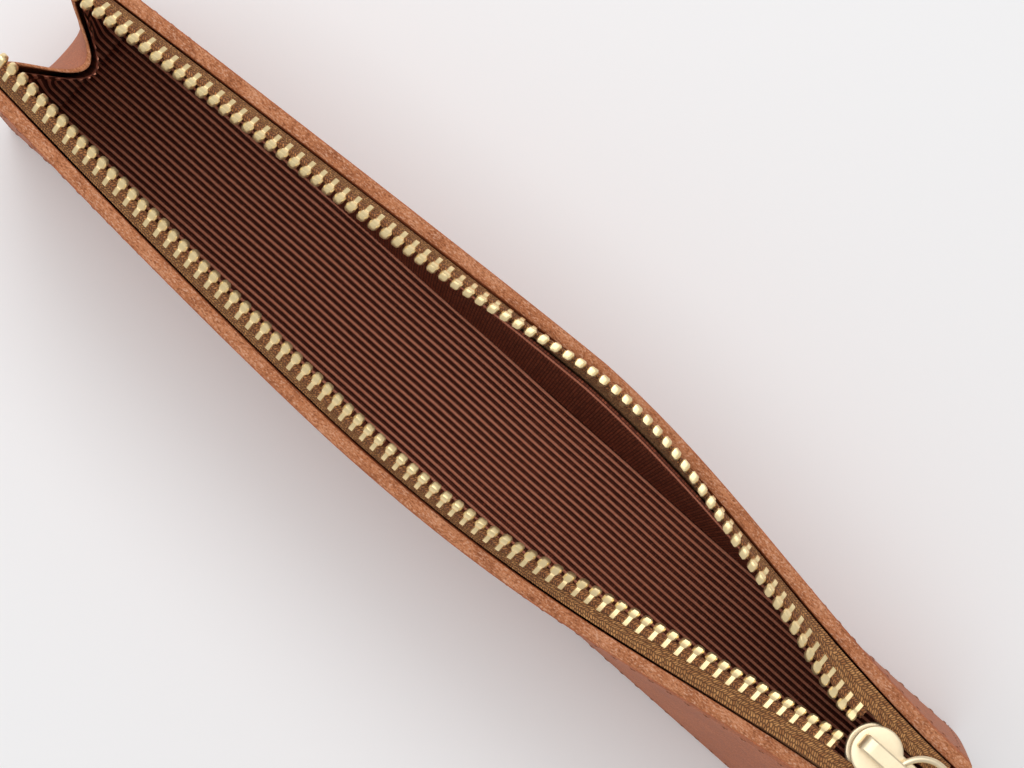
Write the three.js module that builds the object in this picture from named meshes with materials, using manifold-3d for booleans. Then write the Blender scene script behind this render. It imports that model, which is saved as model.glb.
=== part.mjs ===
// A slim, open zip case for one fountain pen: a leather box with a ribbed lining, standing on its base.
// Millimetres. +X runs along the case from the open end to the end where the slider rests, +Z is up,
// and the origin is the middle of the underside. The front is the -Y side and the back is the +Y side.
import * as THREE from 'three';
import { mergeVertices } from 'three/addons/utils/BufferGeometryUtils.js';
import Module from 'manifold-3d';

// ---- driving dimensions -------------------------------------------------------------------------
const HALF_LENGTH = 88.5; // outside, at the base
const BASE_HALF_WIDTH = 14.0; // outside, at the base
const HEIGHT = 40.0; // base to the cut rim of the side panels
const CLEARANCE = 0.3; // between pieces that are glued or sewn face to face

const SIDE_THICKNESS = 2.2; // side panel leather
const BASE_THICKNESS = 1.8; // base and end leather
const END_EDGE_THICKNESS = 0.8; // end leather where it is skived at its top edge
const LINING_THICKNESS = 0.4;
const BASE_SIDE_GAP = 0.35; // between the base leather and each side panel
const LINING_SIDE_GAP = 0.5; // between the base lining and each side panel
const BASE_EDGE_RADIUS = 1.6; // long bottom edges of the side panels
const PANEL_END_RADIUS = 2.0; // upright end edges of the side panels
const LEAN_POWER = 1.25; // how the side panels curve between base and rim
const SLIDER_END_LEAN = 2.1; // how far the rim falls short of the base at the slider end
const LEAN_START = 70.0;

// Each rim is widest at its peak and falls towards both ends. y is the distance from the centre plane,
// power bends the fall, and roundness mixes in a fall that flattens out again at its end.
const RIM_FRONT = {
  peak: { x: -12.6, y: 17.3 },
  open: { x: -HALF_LENGTH, y: 12.7, power: 1.45, roundness: 0 },
  slider: { x: HALF_LENGTH, y: 6.4, power: 1.2, roundness: 1 },
};
const RIM_BACK = {
  peak: { x: 8.0, y: 17.7 },
  open: { x: -HALF_LENGTH, y: 11.4, power: 1.15, roundness: 0 },
  slider: { x: HALF_LENGTH, y: 9.6, power: 0.97, roundness: 1 },
};

const BEND_RADIUS = 4.7; // where the base leather turns up into an end
const OPEN_END_TOP = 37.0;
const OPEN_END_BOW = 10.0; // how deep the top of the open end folds in between the side panels
const BOW_POWER = 1.3;
const SLIDER_END_TOP = 38.5;
const SIDE_TUCK = 0.4; // the end linings are narrower than the end leather by this share of their offset
const END_INSET = 0.7; // ends stand this far inside the panels' upright edges
const END_BEND_START = HALF_LENGTH - END_INSET - BEND_RADIUS;
const BASE_REACH = END_BEND_START - CLEARANCE; // half-length of the base leather's flat and of its lining

const TAPE_THICKNESS = 0.5;
const TAPE_SEWN_DEPTH = 8.0; // tape hidden between leather and lining
const ROOT_RISE_FROM = 54.0; // the strip's root climbs from here to the slider's height
const TAPE_ROOT_DROP = 0.4; // where the tape leaves the rim, below the cut edge
const STRIP_WIDTH = 4.3; // tape and teeth that show, at the open end
const STRIP_EXTRA = 1.3; // more of the tape shows towards the slider
const TOOTH_LENGTH = 3.0; // along the strip
const TOOTH_HEAD = 1.4; // the part that stands past the tape's corded edge
const TOOTH_WIDTH = 1.0; // along the zip
const TOOTH_SHOULDER = 0.15; // chamfer on each side of a tooth
const TOOTH_HALF_THICKNESS = 0.8;
const CORD_HALF_THICKNESS = 0.45;
const TOOTH_PITCH = 2.08;
const TEETH_OPEN_X = -85.0;
const TEETH_SLIDER_X = 68.8;
const FRONT_SPLIT_X = -8.0; // where each side of the mouth bends when it closes
const BACK_SPLIT_X = 10.0;
const STOP_LENGTH = 1.4;
const STOP_HALF_THICKNESS = 1.0;
const TOP_STOP_SETBACK = 0.2; // the top stops end this far short of the teeth's tips
const BOTTOM_STOP_HALF_WIDTH = 2.4;
const TAPE_OPEN_X = -87.5;
const TAPE_SLIDER_X = 85.0;
const CHAIN_HALF_WIDTH = 2.6; // the closed chain behind the slider
const CHAIN_NOTCH = 0.6; // how far its outline draws in between two teeth

const SLIDER_X = 73.6;
const SLIDER_Y = 1.5;
const SLIDER_Z = 40.7;
const SLIDER_RADIUS = 3.85; // round front of the top plate
const SLIDER_NOSE = 0.35; // the bottom plate's front reaches further
const SLIDER_TAIL_X = 6.0;
const SLIDER_TAIL_HALF_WIDTH = 2.2;
const PLATE_THICKNESS = 0.8;
const PLATE_BEVEL = 0.2;
const CHANNEL_HALF_HEIGHT = 1.1;
const BRIDGE_WIDTH = 2.4;
const RING_RADIUS = 4.6; // to the middle of the wire
const WIRE_RADIUS = 0.5;
const RING_PIVOT_X = 3.6; // from the slider's centre
const RING_PIVOT_Z = 2.75;
const RING_DROOP = THREE.MathUtils.degToRad(6);

const HEM_DROP = 4.0; // top of the side linings, below the rim
const TAPE_POCKET_START = 10.0; // the side lining steps in over the sewn tape between these depths
const TAPE_POCKET_END = 8.6;
const POCKET_EASE = 0.1; // room round the tape in that pocket, beyond the usual clearance
const END_LINING_DROP = 1.0; // the end linings stop below the ends' cut edges
const THREAD_WIDTH = 0.5;
const RIM_SEAM_DROP = 3.0;
const BASE_SEAM_HEIGHT = 3.4;
const END_SEAM_INSET = 3.2;
const END_SEAM_DROP = 6.0; // top of the upright seams, below the rim
const SEAM_TURN = 2.5; // the seam rounds each lower corner over this length

const LEATHER = { color: 0xa9683f, roughness: 0.62, metalness: 0 };
const LINING = { color: 0x5a2a1e, roughness: 0.9, metalness: 0 };
const TAPE = { color: 0x9a6b3c, roughness: 0.95, metalness: 0 };
const BRASS = { color: 0xe8d6a6, roughness: 0.3, metalness: 1 };
const THREAD = { color: 0x8f5530, roughness: 0.8, metalness: 0 };

// ---- curves shared by the pieces ----------------------------------------------------------------
const clamp = (v, low, high) => Math.min(high, Math.max(low, v));

function smooth(from, to, x) {
  const t = clamp((x - from) / (to - from), 0, 1);
  return t * t * (3 - 2 * t);
}

const bell = (centre, width, x) => Math.exp(-(((x - centre) / width) ** 2));

function fall(t, power, roundness) {
  const s = clamp(t, 0, 1) ** power;
  return (1 - roundness) * s + roundness * Math.sin((s * Math.PI) / 2) ** 2;
}

// Distance of a rim from the centre plane at x.
function rimAt(rim, x) {
  const end = x < rim.peak.x ? rim.open : rim.slider;
  const t = Math.abs((x - rim.peak.x) / (end.x - rim.peak.x));
  return rim.peak.y - (rim.peak.y - end.y) * fall(t, end.power, end.roundness);
}

// Tilt of the zip strip above level: it stands up along the middle and lies flat in the slider.
// base is its tilt at the open end and rise the extra at the peak, in degrees; relax is the share of
// the tilt that goes as the strip lies down over the stretch in lies.
const FLAT_AT = 68.0; // from here to the slider both strips lie flat
const TILT_FRONT = { base: 38, rise: 16, peak: 0, spread: 20, relax: 0.72, lies: [12, 36], ends: 58 };
const TILT_BACK = { base: 42, rise: 57, peak: 15, spread: 26, riseEnds: 48, ends: 52 };

function frontTilt(x) {
  const t = TILT_FRONT;
  const open = t.base + t.rise * bell(t.peak, t.spread, x);
  const eased = open * (1 - t.relax * smooth(...t.lies, x)) * (1 - smooth(t.ends, FLAT_AT, x));
  return THREE.MathUtils.degToRad(eased);
}

function backTilt(x) {
  const t = TILT_BACK;
  const standing = t.rise * bell(t.peak, t.spread, x) * (1 - smooth(t.riseEnds, FLAT_AT, x));
  return THREE.MathUtils.degToRad(standing + t.base * (1 - smooth(t.ends, FLAT_AT, x)));
}

const FRONT = {
  name: 'front', sign: -1, rim: RIM_FRONT, tilt: frontTilt,
  stripWidth: (x) => STRIP_WIDTH + STRIP_EXTRA * smooth(8, 60, x),
};
const BACK = {
  name: 'back', sign: 1, rim: RIM_BACK, tilt: backTilt,
  stripWidth: (x) => STRIP_WIDTH + STRIP_EXTRA * smooth(28, 68, x),
};

// Outer and inner face of a side panel's leather, as distances from the centre plane.
function panelOuter(side, x, z) {
  const share = clamp(z / HEIGHT, 0, 1) ** LEAN_POWER;
  return BASE_HALF_WIDTH + (rimAt(side.rim, x) - BASE_HALF_WIDTH) * share;
}

const panelInner = (side, x, z) => panelOuter(side, x, z) - SIDE_THICKNESS;

// The slider end leans back towards the middle of the case as it rises.
function place(x, y, z) {
  const lean = SLIDER_END_LEAN * clamp(z / HEIGHT, 0, 1.1) * smooth(LEAN_START, HALF_LENGTH, x);
  return new THREE.Vector3(x - lean, y, z);
}

function steps(from, to, count) {
  return Array.from({ length: count + 1 }, (_, i) => from + ((to - from) * i) / count);
}

// ---- turning cross-sections into closed bodies --------------------------------------------------
function signedArea(points, [a, b, c]) {
  const [p, q, r] = [points[a], points[b], points[c]];
  return (q.x - p.x) * (r.y - p.y) - (r.x - p.x) * (q.y - p.y);
}

function capFaces(ring, flatten) {
  const outline = ring.map(flatten);
  const turning = Math.sign(THREE.ShapeUtils.area(outline));
  return THREE.ShapeUtils.triangulateShape(outline, []).map((face) =>
    Math.sign(signedArea(outline, face)) === turning ? face : [face[0], face[2], face[1]]);
}

function volumeOf(points, faces) {
  return faces.reduce((sum, [a, b, c]) =>
    sum + points[a].dot(new THREE.Vector3().crossVectors(points[b], points[c])), 0);
}

// Rings of equal length, each a cross-section, are joined side by side and closed at both ends.
function loft(rings, flatten) {
  const count = rings[0].length;
  const points = rings.flat();
  const faces = [];
  for (let i = 0; i + 1 < rings.length; i += 1) {
    for (let k = 0; k < count; k += 1) {
      const next = (k + 1) % count;
      const [a, b, c, d] = [i * count + k, (i + 1) * count + k, (i + 1) * count + next, i * count + next];
      faces.push([a, b, c], [a, c, d]);
    }
  }
  const last = (rings.length - 1) * count;
  capFaces(rings[0], flatten).forEach((f) => faces.push(f));
  capFaces(rings.at(-1), flatten).forEach(([a, b, c]) => faces.push([last + a, last + c, last + b]));
  const inside = volumeOf(points, faces) < 0;
  const geometry = new THREE.BufferGeometry();
  geometry.setAttribute('position',
    new THREE.Float32BufferAttribute(points.flatMap((p) => [p.x, p.y, p.z]), 3));
  geometry.setIndex(faces.flatMap(([a, b, c]) => (inside ? [a, c, b] : [a, b, c])));
  return geometry;
}

const alongX = (p) => new THREE.Vector2(p.y, p.z);
const alongY = (p) => new THREE.Vector2(p.x, p.z);

// What lies against a side panel steps inwards near the rim, over the sewn part of the tape.
function tapeStep(z) {
  const over = TAPE_THICKNESS + CLEARANCE + POCKET_EASE;
  return over * smooth(HEIGHT - TAPE_POCKET_START, HEIGHT - TAPE_POCKET_END, z);
}

// ---- leather ------------------------------------------------------------------------------------
function roundOff(radius, distance) {
  if (distance >= radius) return 0;
  return radius - Math.sqrt(radius ** 2 - (radius - distance) ** 2);
}

function sidePanel(side) {
  const heights = [0, 0.3, BASE_EDGE_RADIUS, 6, 13, 20, 27, 34, HEIGHT];
  const endSteps = [0, 0.25, 0.9, PANEL_END_RADIUS];
  const stations = [
    ...endSteps.map((d) => -HALF_LENGTH + d),
    ...steps(-80, 80, 20),
    ...endSteps.map((d) => HALF_LENGTH - d).reverse(),
  ];
  const rings = stations.map((x) => {
    const endCut = Math.min(roundOff(PANEL_END_RADIUS, HALF_LENGTH - Math.abs(x)), SIDE_THICKNESS - 0.3);
    const outer = heights.map((z) => {
      const cut = Math.max(endCut, roundOff(BASE_EDGE_RADIUS, z));
      return place(x, side.sign * (panelOuter(side, x, z) - cut), z);
    });
    const inner = heights.map((z) => place(x, side.sign * panelInner(side, x, z), z)).reverse();
    return [...outer, ...inner];
  });
  return loft(rings, alongX);
}

function basePanel() {
  const halfWidth = BASE_HALF_WIDTH - SIDE_THICKNESS - BASE_SIDE_GAP;
  const panel = new THREE.BoxGeometry(2 * BASE_REACH, 2 * halfWidth, BASE_THICKNESS);
  panel.translate(0, 0, BASE_THICKNESS / 2);
  return panel;
}

// An end wall's cross-section, seen from the front: the base leather turns up through a quarter bend
// and rises to its top edge. u runs outwards from the start of the bend.
function endProfile(offset, thicknessAt, top) {
  const bend = [0, 22.5, 45, 67.5].map((a) => THREE.MathUtils.degToRad(a));
  const heights = steps(BEND_RADIUS, top, 7);
  const outer = [
    ...bend.map((a) => ({ r: BEND_RADIUS - offset, a })),
    ...heights.map((z) => ({ u: BEND_RADIUS - offset, z })),
  ];
  const inner = [
    ...bend.map((a) => ({ r: BEND_RADIUS - offset - thicknessAt(0), a })),
    ...heights.map((z) => ({ u: BEND_RADIUS - offset - thicknessAt(z), z })),
  ];
  const toPoint = (p) => (p.r === undefined ? p
    : { u: p.r * Math.sin(p.a), z: BEND_RADIUS - p.r * Math.cos(p.a) });
  return [...outer.map(toPoint), ...inner.map(toPoint).reverse()];
}

function endWall(end, offset, thicknessAt, top) {
  const profile = endProfile(offset, thicknessAt, top);
  const rings = steps(-1, 1, 14).map((f) => profile.map(({ u, z }) => {
    const side = f < 0 ? FRONT : BACK;
    const x = end.sign * (END_BEND_START + u);
    const span = panelInner(side, x, z) - CLEARANCE - tapeStep(z);
    const y = f * (span - offset * SIDE_TUCK);
    const rise = clamp((z - BEND_RADIUS) / (end.top - BEND_RADIUS), 0, 1) ** BOW_POWER;
    const bow = end.bow * rise * 0.5 * (1 + Math.cos((Math.PI * y) / span));
    return place(x - end.sign * bow, y, z);
  }));
  return loft(rings, alongY);
}

const OPEN_END = { sign: -1, bow: OPEN_END_BOW, top: OPEN_END_TOP };
const SLIDER_END = { sign: 1, bow: 0, top: SLIDER_END_TOP };

function skived(top) {
  return (z) => BASE_THICKNESS + (END_EDGE_THICKNESS - BASE_THICKNESS) * smooth(BEND_RADIUS, top, z);
}

// ---- lining -------------------------------------------------------------------------------------
const LINING_BOTTOM = BASE_THICKNESS + CLEARANCE;

function baseLining() {
  const halfWidth = BASE_HALF_WIDTH - SIDE_THICKNESS - LINING_SIDE_GAP;
  const sheet = new THREE.BoxGeometry(2 * BASE_REACH, 2 * halfWidth, LINING_THICKNESS);
  sheet.translate(0, 0, LINING_BOTTOM + LINING_THICKNESS / 2);
  return sheet;
}

function sideLining(side) {
  const bottom = LINING_BOTTOM + LINING_THICKNESS + CLEARANCE;
  const pocket = [HEIGHT - TAPE_POCKET_START, HEIGHT - TAPE_POCKET_END];
  const heights = [bottom, 8, 15, 22, ...pocket, HEIGHT - HEM_DROP];
  const rings = steps(-82, 82, 22).map((x) => {
    const face = (z) => panelInner(side, x, z) - CLEARANCE - tapeStep(z);
    const outer = heights.map((z) => place(x, side.sign * face(z), z));
    const inner = heights.map((z) => place(x, side.sign * (face(z) - LINING_THICKNESS), z)).reverse();
    return [...outer, ...inner];
  });
  return loft(rings, alongX);
}

// ---- zip ----------------------------------------------------------------------------------------
// The strip leaves the rim at its root and rises inwards at the tilt. along runs from the root to the
// teeth's tips, and across is square to it, through the tape's thickness.
function strip(side, x) {
  const lift = (SLIDER_Z - HEIGHT + TAPE_ROOT_DROP) * smooth(ROOT_RISE_FROM, FLAT_AT, x);
  const tilt = side.tilt(x);
  const rootZ = HEIGHT - TAPE_ROOT_DROP + lift;
  const inset = CLEARANCE + TAPE_THICKNESS / 2;
  return {
    width: side.stripWidth(x),
    tilt,
    rootZ,
    at(along, across) {
      const inwards = inset + along * Math.cos(tilt) - across * Math.sin(tilt);
      const z = rootZ + along * Math.sin(tilt) + across * Math.cos(tilt);
      return place(x, side.sign * (panelInner(side, x, rootZ) - inwards), z);
    },
    sewn(across) {
      const z = rootZ - TAPE_SEWN_DEPTH;
      return place(x, side.sign * (panelInner(side, x, z) - inset + across), z);
    },
  };
}

// The tape bends at the rim: the corner is mitred between the upright and the tilted stretch.
function tapeRing(side, x) {
  const s = strip(side, x);
  const half = TAPE_THICKNESS / 2;
  const end = s.width - TOOTH_LENGTH - CLEARANCE;
  const slip = Math.tan((Math.PI / 2 - s.tilt) / 2) * half;
  return [
    s.sewn(half), s.at(-slip, half), s.at(end, half),
    s.at(end, -half), s.at(slip, -half), s.sewn(-half),
  ];
}

function tape(side, from, to, count) {
  return loft(steps(from, to, count).map((x) => tapeRing(side, x)), alongX);
}

function combRing(side, x, tip, halfThickness) {
  const s = strip(side, x);
  const root = s.width - TOOTH_LENGTH;
  return [
    s.at(root, halfThickness), s.at(tip(s), halfThickness),
    s.at(tip(s), -halfThickness), s.at(root, -halfThickness),
  ];
}

// The corded edge of the tape with its teeth clamped on, as one comb.
function teeth(side, from, to) {
  const cordEdge = (s) => s.width - TOOTH_HEAD;
  const toothTip = (s) => s.width;
  const count = Math.floor((to - from - TOOTH_WIDTH) / TOOTH_PITCH);
  const margin = (to - from - count * TOOTH_PITCH) / 2;
  const rings = [combRing(side, from, cordEdge, CORD_HALF_THICKNESS)];
  for (let i = 0; i <= count; i += 1) {
    const middle = from + margin + i * TOOTH_PITCH;
    const half = TOOTH_WIDTH / 2;
    const outline = [-half, TOOTH_SHOULDER - half, half - TOOTH_SHOULDER, half];
    outline.forEach((d, corner) => {
      const full = corner === 1 || corner === 2;
      rings.push(combRing(side, middle + d, full ? toothTip : cordEdge,
        full ? TOOTH_HALF_THICKNESS : CORD_HALF_THICKNESS));
    });
  }
  rings.push(combRing(side, to, cordEdge, CORD_HALF_THICKNESS));
  return loft(rings, alongX);
}

function topStop(side) {
  const from = TEETH_OPEN_X - CLEARANCE - STOP_LENGTH;
  const rings = [from, from + STOP_LENGTH].map((x) =>
    combRing(side, x, (s) => s.width - TOP_STOP_SETBACK, STOP_HALF_THICKNESS));
  return loft(rings, alongX);
}

const CLOSED_CHAIN_FROM = SLIDER_X + SLIDER_TAIL_X + PLATE_BEVEL + CLEARANCE;

// A rectangle across the zip behind the slider, centred on the chain.
function zipSection(x, wide, half) {
  return [[-wide, -half], [wide, -half], [wide, half], [-wide, half]].map(([y, z]) =>
    place(x, SLIDER_Y + y, SLIDER_Z + z));
}

function closedChain() {
  const count = Math.floor((TAPE_SLIDER_X - CLOSED_CHAIN_FROM) / (TOOTH_PITCH / 2));
  const rings = steps(CLOSED_CHAIN_FROM, TAPE_SLIDER_X, count * 2).map((x, i) => {
    const half = i % 2 === 0 ? CORD_HALF_THICKNESS : TOOTH_HALF_THICKNESS;
    const wide = i % 2 === 0 ? CHAIN_HALF_WIDTH - CHAIN_NOTCH : CHAIN_HALF_WIDTH;
    return zipSection(x, wide, half);
  });
  return loft(rings, alongX);
}

function bottomStop() {
  const from = TAPE_SLIDER_X + CLEARANCE;
  const rings = [from, from + STOP_LENGTH].map((x) =>
    zipSection(x, BOTTOM_STOP_HALF_WIDTH, STOP_HALF_THICKNESS));
  return loft(rings, alongX);
}

// ---- slider and ring ----------------------------------------------------------------------------
const wasm = await Module();
wasm.setup();

function welded(geometry) {
  const copy = geometry.clone();
  copy.deleteAttribute('normal');
  copy.deleteAttribute('uv');
  return mergeVertices(copy, 1e-4);
}

function toSolid(geometry) {
  const closed = welded(geometry);
  return new wasm.Manifold(new wasm.Mesh({
    numProp: 3,
    vertProperties: new Float32Array(closed.getAttribute('position').array),
    triVerts: new Uint32Array(closed.getIndex().array),
  }));
}

function toGeometry(solid) {
  const mesh = solid.getMesh();
  const geometry = new THREE.BufferGeometry();
  geometry.setAttribute('position', new THREE.Float32BufferAttribute(mesh.vertProperties, 3));
  geometry.setIndex([...mesh.triVerts]);
  return geometry;
}

// A slider plate from above: round in front, with a narrow straight tail.
function plate(radius, bottom) {
  const meet = Math.asin(SLIDER_TAIL_HALF_WIDTH / radius);
  const outline = new THREE.Shape();
  outline.moveTo(SLIDER_TAIL_X, -SLIDER_TAIL_HALF_WIDTH);
  outline.lineTo(SLIDER_TAIL_X, SLIDER_TAIL_HALF_WIDTH);
  outline.absarc(0, 0, radius, meet, 2 * Math.PI - meet, false);
  const geometry = new THREE.ExtrudeGeometry(outline, {
    depth: PLATE_THICKNESS - 2 * PLATE_BEVEL, curveSegments: 20,
    bevelEnabled: true, bevelSegments: 1, bevelSize: PLATE_BEVEL, bevelThickness: PLATE_BEVEL,
    bevelOffset: -PLATE_BEVEL,
  });
  return geometry.translate(0, 0, bottom + PLATE_BEVEL);
}

function wedgePost() {
  const outline = new THREE.Shape([[-3.3, 0], [-2.1, -0.9], [-0.5, 0], [-2.1, 0.9]]
    .map(([x, y]) => new THREE.Vector2(x, y)));
  const reach = CHANNEL_HALF_HEIGHT + PLATE_THICKNESS / 2;
  return new THREE.ExtrudeGeometry(outline, { depth: 2 * reach, bevelEnabled: false })
    .translate(0, 0, -reach);
}

// The bridge is an arch over the top plate that the ring passes under.
function bridge() {
  const foot = CHANNEL_HALF_HEIGHT + PLATE_THICKNESS / 2;
  const outer = [[-3.0, foot], [-2.7, 3.6], [-2.2, 4.25], [-1.5, 4.5], [4.4, 4.5], [5.2, 4.1], [5.6, foot]];
  const inner = [[4.75, foot], [4.6, 3.6], [-1.6, 3.6], [-2.1, 3.2], [-2.2, foot]];
  const outline = new THREE.Shape([...outer, ...inner].map(([x, z]) => new THREE.Vector2(x, z)));
  return new THREE.ExtrudeGeometry(outline, { depth: BRIDGE_WIDTH, bevelEnabled: false })
    .rotateX(Math.PI / 2).translate(0, BRIDGE_WIDTH / 2, 0);
}

function sliderBody() {
  const top = CHANNEL_HALF_HEIGHT;
  const pieces = [
    plate(SLIDER_RADIUS, top),
    plate(SLIDER_RADIUS + SLIDER_NOSE, -top - PLATE_THICKNESS),
    wedgePost(),
    bridge(),
  ];
  return toGeometry(pieces.map(toSolid).reduce((whole, piece) => whole.add(piece)));
}

// ---- thread -------------------------------------------------------------------------------------
// A seam runs over a side panel's outer face, through the points of its path in length and height.
function seam(side, path) {
  const half = THREAD_WIDTH / 2;
  const rings = path.map(([x, z], i) => {
    const [before, after] = [path[Math.max(0, i - 1)], path[Math.min(path.length - 1, i + 1)]];
    const run = new THREE.Vector2(after[0] - before[0], after[1] - before[1]).normalize();
    return [[-half, 0], [half, 0], [half, THREAD_WIDTH], [-half, THREAD_WIDTH]].map(([w, out]) => {
      const [px, pz] = [x - w * run.y, z + w * run.x];
      return place(px, side.sign * (panelOuter(side, px, pz) + CLEARANCE + out), pz);
    });
  });
  return loft(rings, (p) => new THREE.Vector2(p.y, p.x + p.z));
}

function rimSeam(side) {
  return seam(side, steps(-86, 86, 30).map((x) => [x, HEIGHT - RIM_SEAM_DROP]));
}

function panelSeam(side) {
  const x = HALF_LENGTH - END_SEAM_INSET;
  const top = HEIGHT - END_SEAM_DROP;
  const turn = SEAM_TURN;
  const low = BASE_SEAM_HEIGHT;
  return seam(side, [
    ...steps(top, low + turn, 4).map((z) => [-x, z]),
    [-x + 0.3 * turn, low + 0.3 * turn],
    ...steps(-x + turn, x - turn, 20).map((v) => [v, low]),
    [x - 0.3 * turn, low + 0.3 * turn],
    ...steps(low + turn, top, 4).map((z) => [x, z]),
  ]);
}

// ---- the assembly -------------------------------------------------------------------------------
const materials = Object.fromEntries(Object.entries({ LEATHER, LINING, TAPE, BRASS, THREAD })
  .map(([name, look]) => [name, new THREE.MeshStandardMaterial(look)]));

const fountainPenCase = new THREE.Group();

function add(name, geometry, material, parent = fountainPenCase) {
  const mesh = new THREE.Mesh(welded(geometry), materials[material]);
  mesh.name = name;
  parent.add(mesh);
  return mesh;
}

add('base_panel', basePanel(), 'LEATHER');
add('open_end_gusset', endWall(OPEN_END, 0, skived(OPEN_END_TOP), OPEN_END_TOP), 'LEATHER');
add('slider_end_wall', endWall(SLIDER_END, 0, () => BASE_THICKNESS, SLIDER_END_TOP), 'LEATHER');
add('lining_base', baseLining(), 'LINING');
[[OPEN_END, 'lining_open_end'], [SLIDER_END, 'lining_slider_end']].forEach(([end, name]) => {
  const top = end.top - END_LINING_DROP;
  add(name, endWall(end, LINING_BOTTOM, () => LINING_THICKNESS, top), 'LINING');
});

[FRONT, BACK].forEach((side) => {
  const split = side === FRONT ? FRONT_SPLIT_X : BACK_SPLIT_X;
  add(`side_panel_${side.name}`, sidePanel(side), 'LEATHER');
  add(`lining_${side.name}`, sideLining(side), 'LINING');
  add(`tape_${side.name}_open_half`, tape(side, TAPE_OPEN_X, split - CLEARANCE / 2, 18), 'TAPE');
  add(`tape_${side.name}_slider_half`, tape(side, split + CLEARANCE / 2, SLIDER_X, 18), 'TAPE');
  add(`tape_${side.name}_end`, tape(side, SLIDER_X + CLEARANCE, TAPE_SLIDER_X, 4), 'TAPE');
  add(`teeth_${side.name}_open_half`, teeth(side, TEETH_OPEN_X, split - CLEARANCE / 2), 'BRASS');
  add(`teeth_${side.name}_slider_half`, teeth(side, split + CLEARANCE / 2, TEETH_SLIDER_X), 'BRASS');
  add(`top_stop_${side.name}`, topStop(side), 'BRASS');
  add(`rim_seam_${side.name}`, rimSeam(side), 'THREAD');
  add(`panel_seam_${side.name}`, panelSeam(side), 'THREAD');
});
add('closed_chain', closedChain(), 'BRASS');
add('bottom_stop', bottomStop(), 'BRASS');

const slider = new THREE.Group();
slider.position.set(SLIDER_X, SLIDER_Y, SLIDER_Z);
fountainPenCase.add(slider);
add('slider_body', sliderBody(), 'BRASS', slider);

const ringPivot = new THREE.Group();
ringPivot.position.set(RING_PIVOT_X, 0, RING_PIVOT_Z);
ringPivot.rotation.y = RING_DROOP;
slider.add(ringPivot);
const ring = add('pull_ring', new THREE.TorusGeometry(RING_RADIUS, WIRE_RADIUS, 8, 32), 'BRASS', ringPivot);
ring.position.x = RING_RADIUS;

export default fountainPenCase;
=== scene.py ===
# %% [markdown]
# # A zip case for one fountain pen
# The case is a slim leather box that stands on its base with its zip fully open. The frame already holds
# every piece at its true size and place, and says which pieces move. This lesson dresses that frame: each
# plain solid is replaced by a surface with the detail of the real thing, and each finish is built from
# shader nodes. The box round the frame is kept, so that the finished model can be compared with it.

# %% Load the frame
import math

import bpy
import numpy as np
from mathutils import Matrix


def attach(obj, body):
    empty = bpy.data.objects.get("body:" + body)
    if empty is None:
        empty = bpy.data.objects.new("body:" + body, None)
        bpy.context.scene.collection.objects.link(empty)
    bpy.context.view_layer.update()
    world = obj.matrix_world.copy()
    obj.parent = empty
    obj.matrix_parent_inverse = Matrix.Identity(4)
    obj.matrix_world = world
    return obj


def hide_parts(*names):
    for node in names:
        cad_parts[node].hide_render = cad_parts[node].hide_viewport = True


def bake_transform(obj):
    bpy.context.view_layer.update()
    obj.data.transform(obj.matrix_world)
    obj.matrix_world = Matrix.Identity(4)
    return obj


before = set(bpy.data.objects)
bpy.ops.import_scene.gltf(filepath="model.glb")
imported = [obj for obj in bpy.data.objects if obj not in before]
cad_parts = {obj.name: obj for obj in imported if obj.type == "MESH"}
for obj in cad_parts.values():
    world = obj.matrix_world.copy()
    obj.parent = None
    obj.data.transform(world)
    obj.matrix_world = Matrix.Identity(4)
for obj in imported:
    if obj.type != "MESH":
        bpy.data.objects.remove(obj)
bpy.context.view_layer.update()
MM = 0.001

# %% [markdown]
# ## The camera
# The case is seen from almost straight above, so that the mouth frames the ribbed floor. A long lens from
# far away keeps the two sides nearly parallel. The camera is set by where it stands, what it looks at and
# how far the picture is turned about the line of sight.

# %% Camera
CAMERA_STANDS = np.array([6.6, -16.3, 449.0])
CAMERA_LOOKS_AT = np.array([-1.0, 8.6, 0.0])
PICTURE_TURN = math.radians(41.7)  # heading of the picture's right-hand edge, from +X
LENS = 100.0


def camera_axes(stands, looks_at, turn):
    """Three unit axes: the view runs from one point to the other, right is the heading made square to it,
    and up is square to both."""
    view = (looks_at - stands) / np.linalg.norm(looks_at - stands)
    heading = np.array([math.cos(turn), math.sin(turn), 0.0])
    right = heading - heading @ view * view
    right /= np.linalg.norm(right)
    return np.stack([right, np.cross(right, view), -view], axis=1)


camera_data = bpy.data.cameras.new("camera")
camera_data.lens = LENS
camera_data.sensor_width = 36.0
camera_data.clip_start = 0.01
camera = bpy.data.objects.new("camera", camera_data)
bpy.context.scene.collection.objects.link(camera)
pose = np.eye(4)
pose[:3, :3] = camera_axes(CAMERA_STANDS, CAMERA_LOOKS_AT, PICTURE_TURN)
pose[:3, 3] = CAMERA_STANDS * MM
camera.matrix_world = Matrix(pose.tolist())
bpy.context.scene.camera = camera
print("camera stands", CAMERA_STANDS[2], "mm above the table")

# %% [markdown]
# ## The case's own curves
# Every piece of the case follows the same few curves: how far each rim bows out along the case, how the
# sides lean between base and rim, and how the zip's strip tilts. They are written once here, in
# millimetres and for whole arrays at a time, and every later step uses them.

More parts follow.
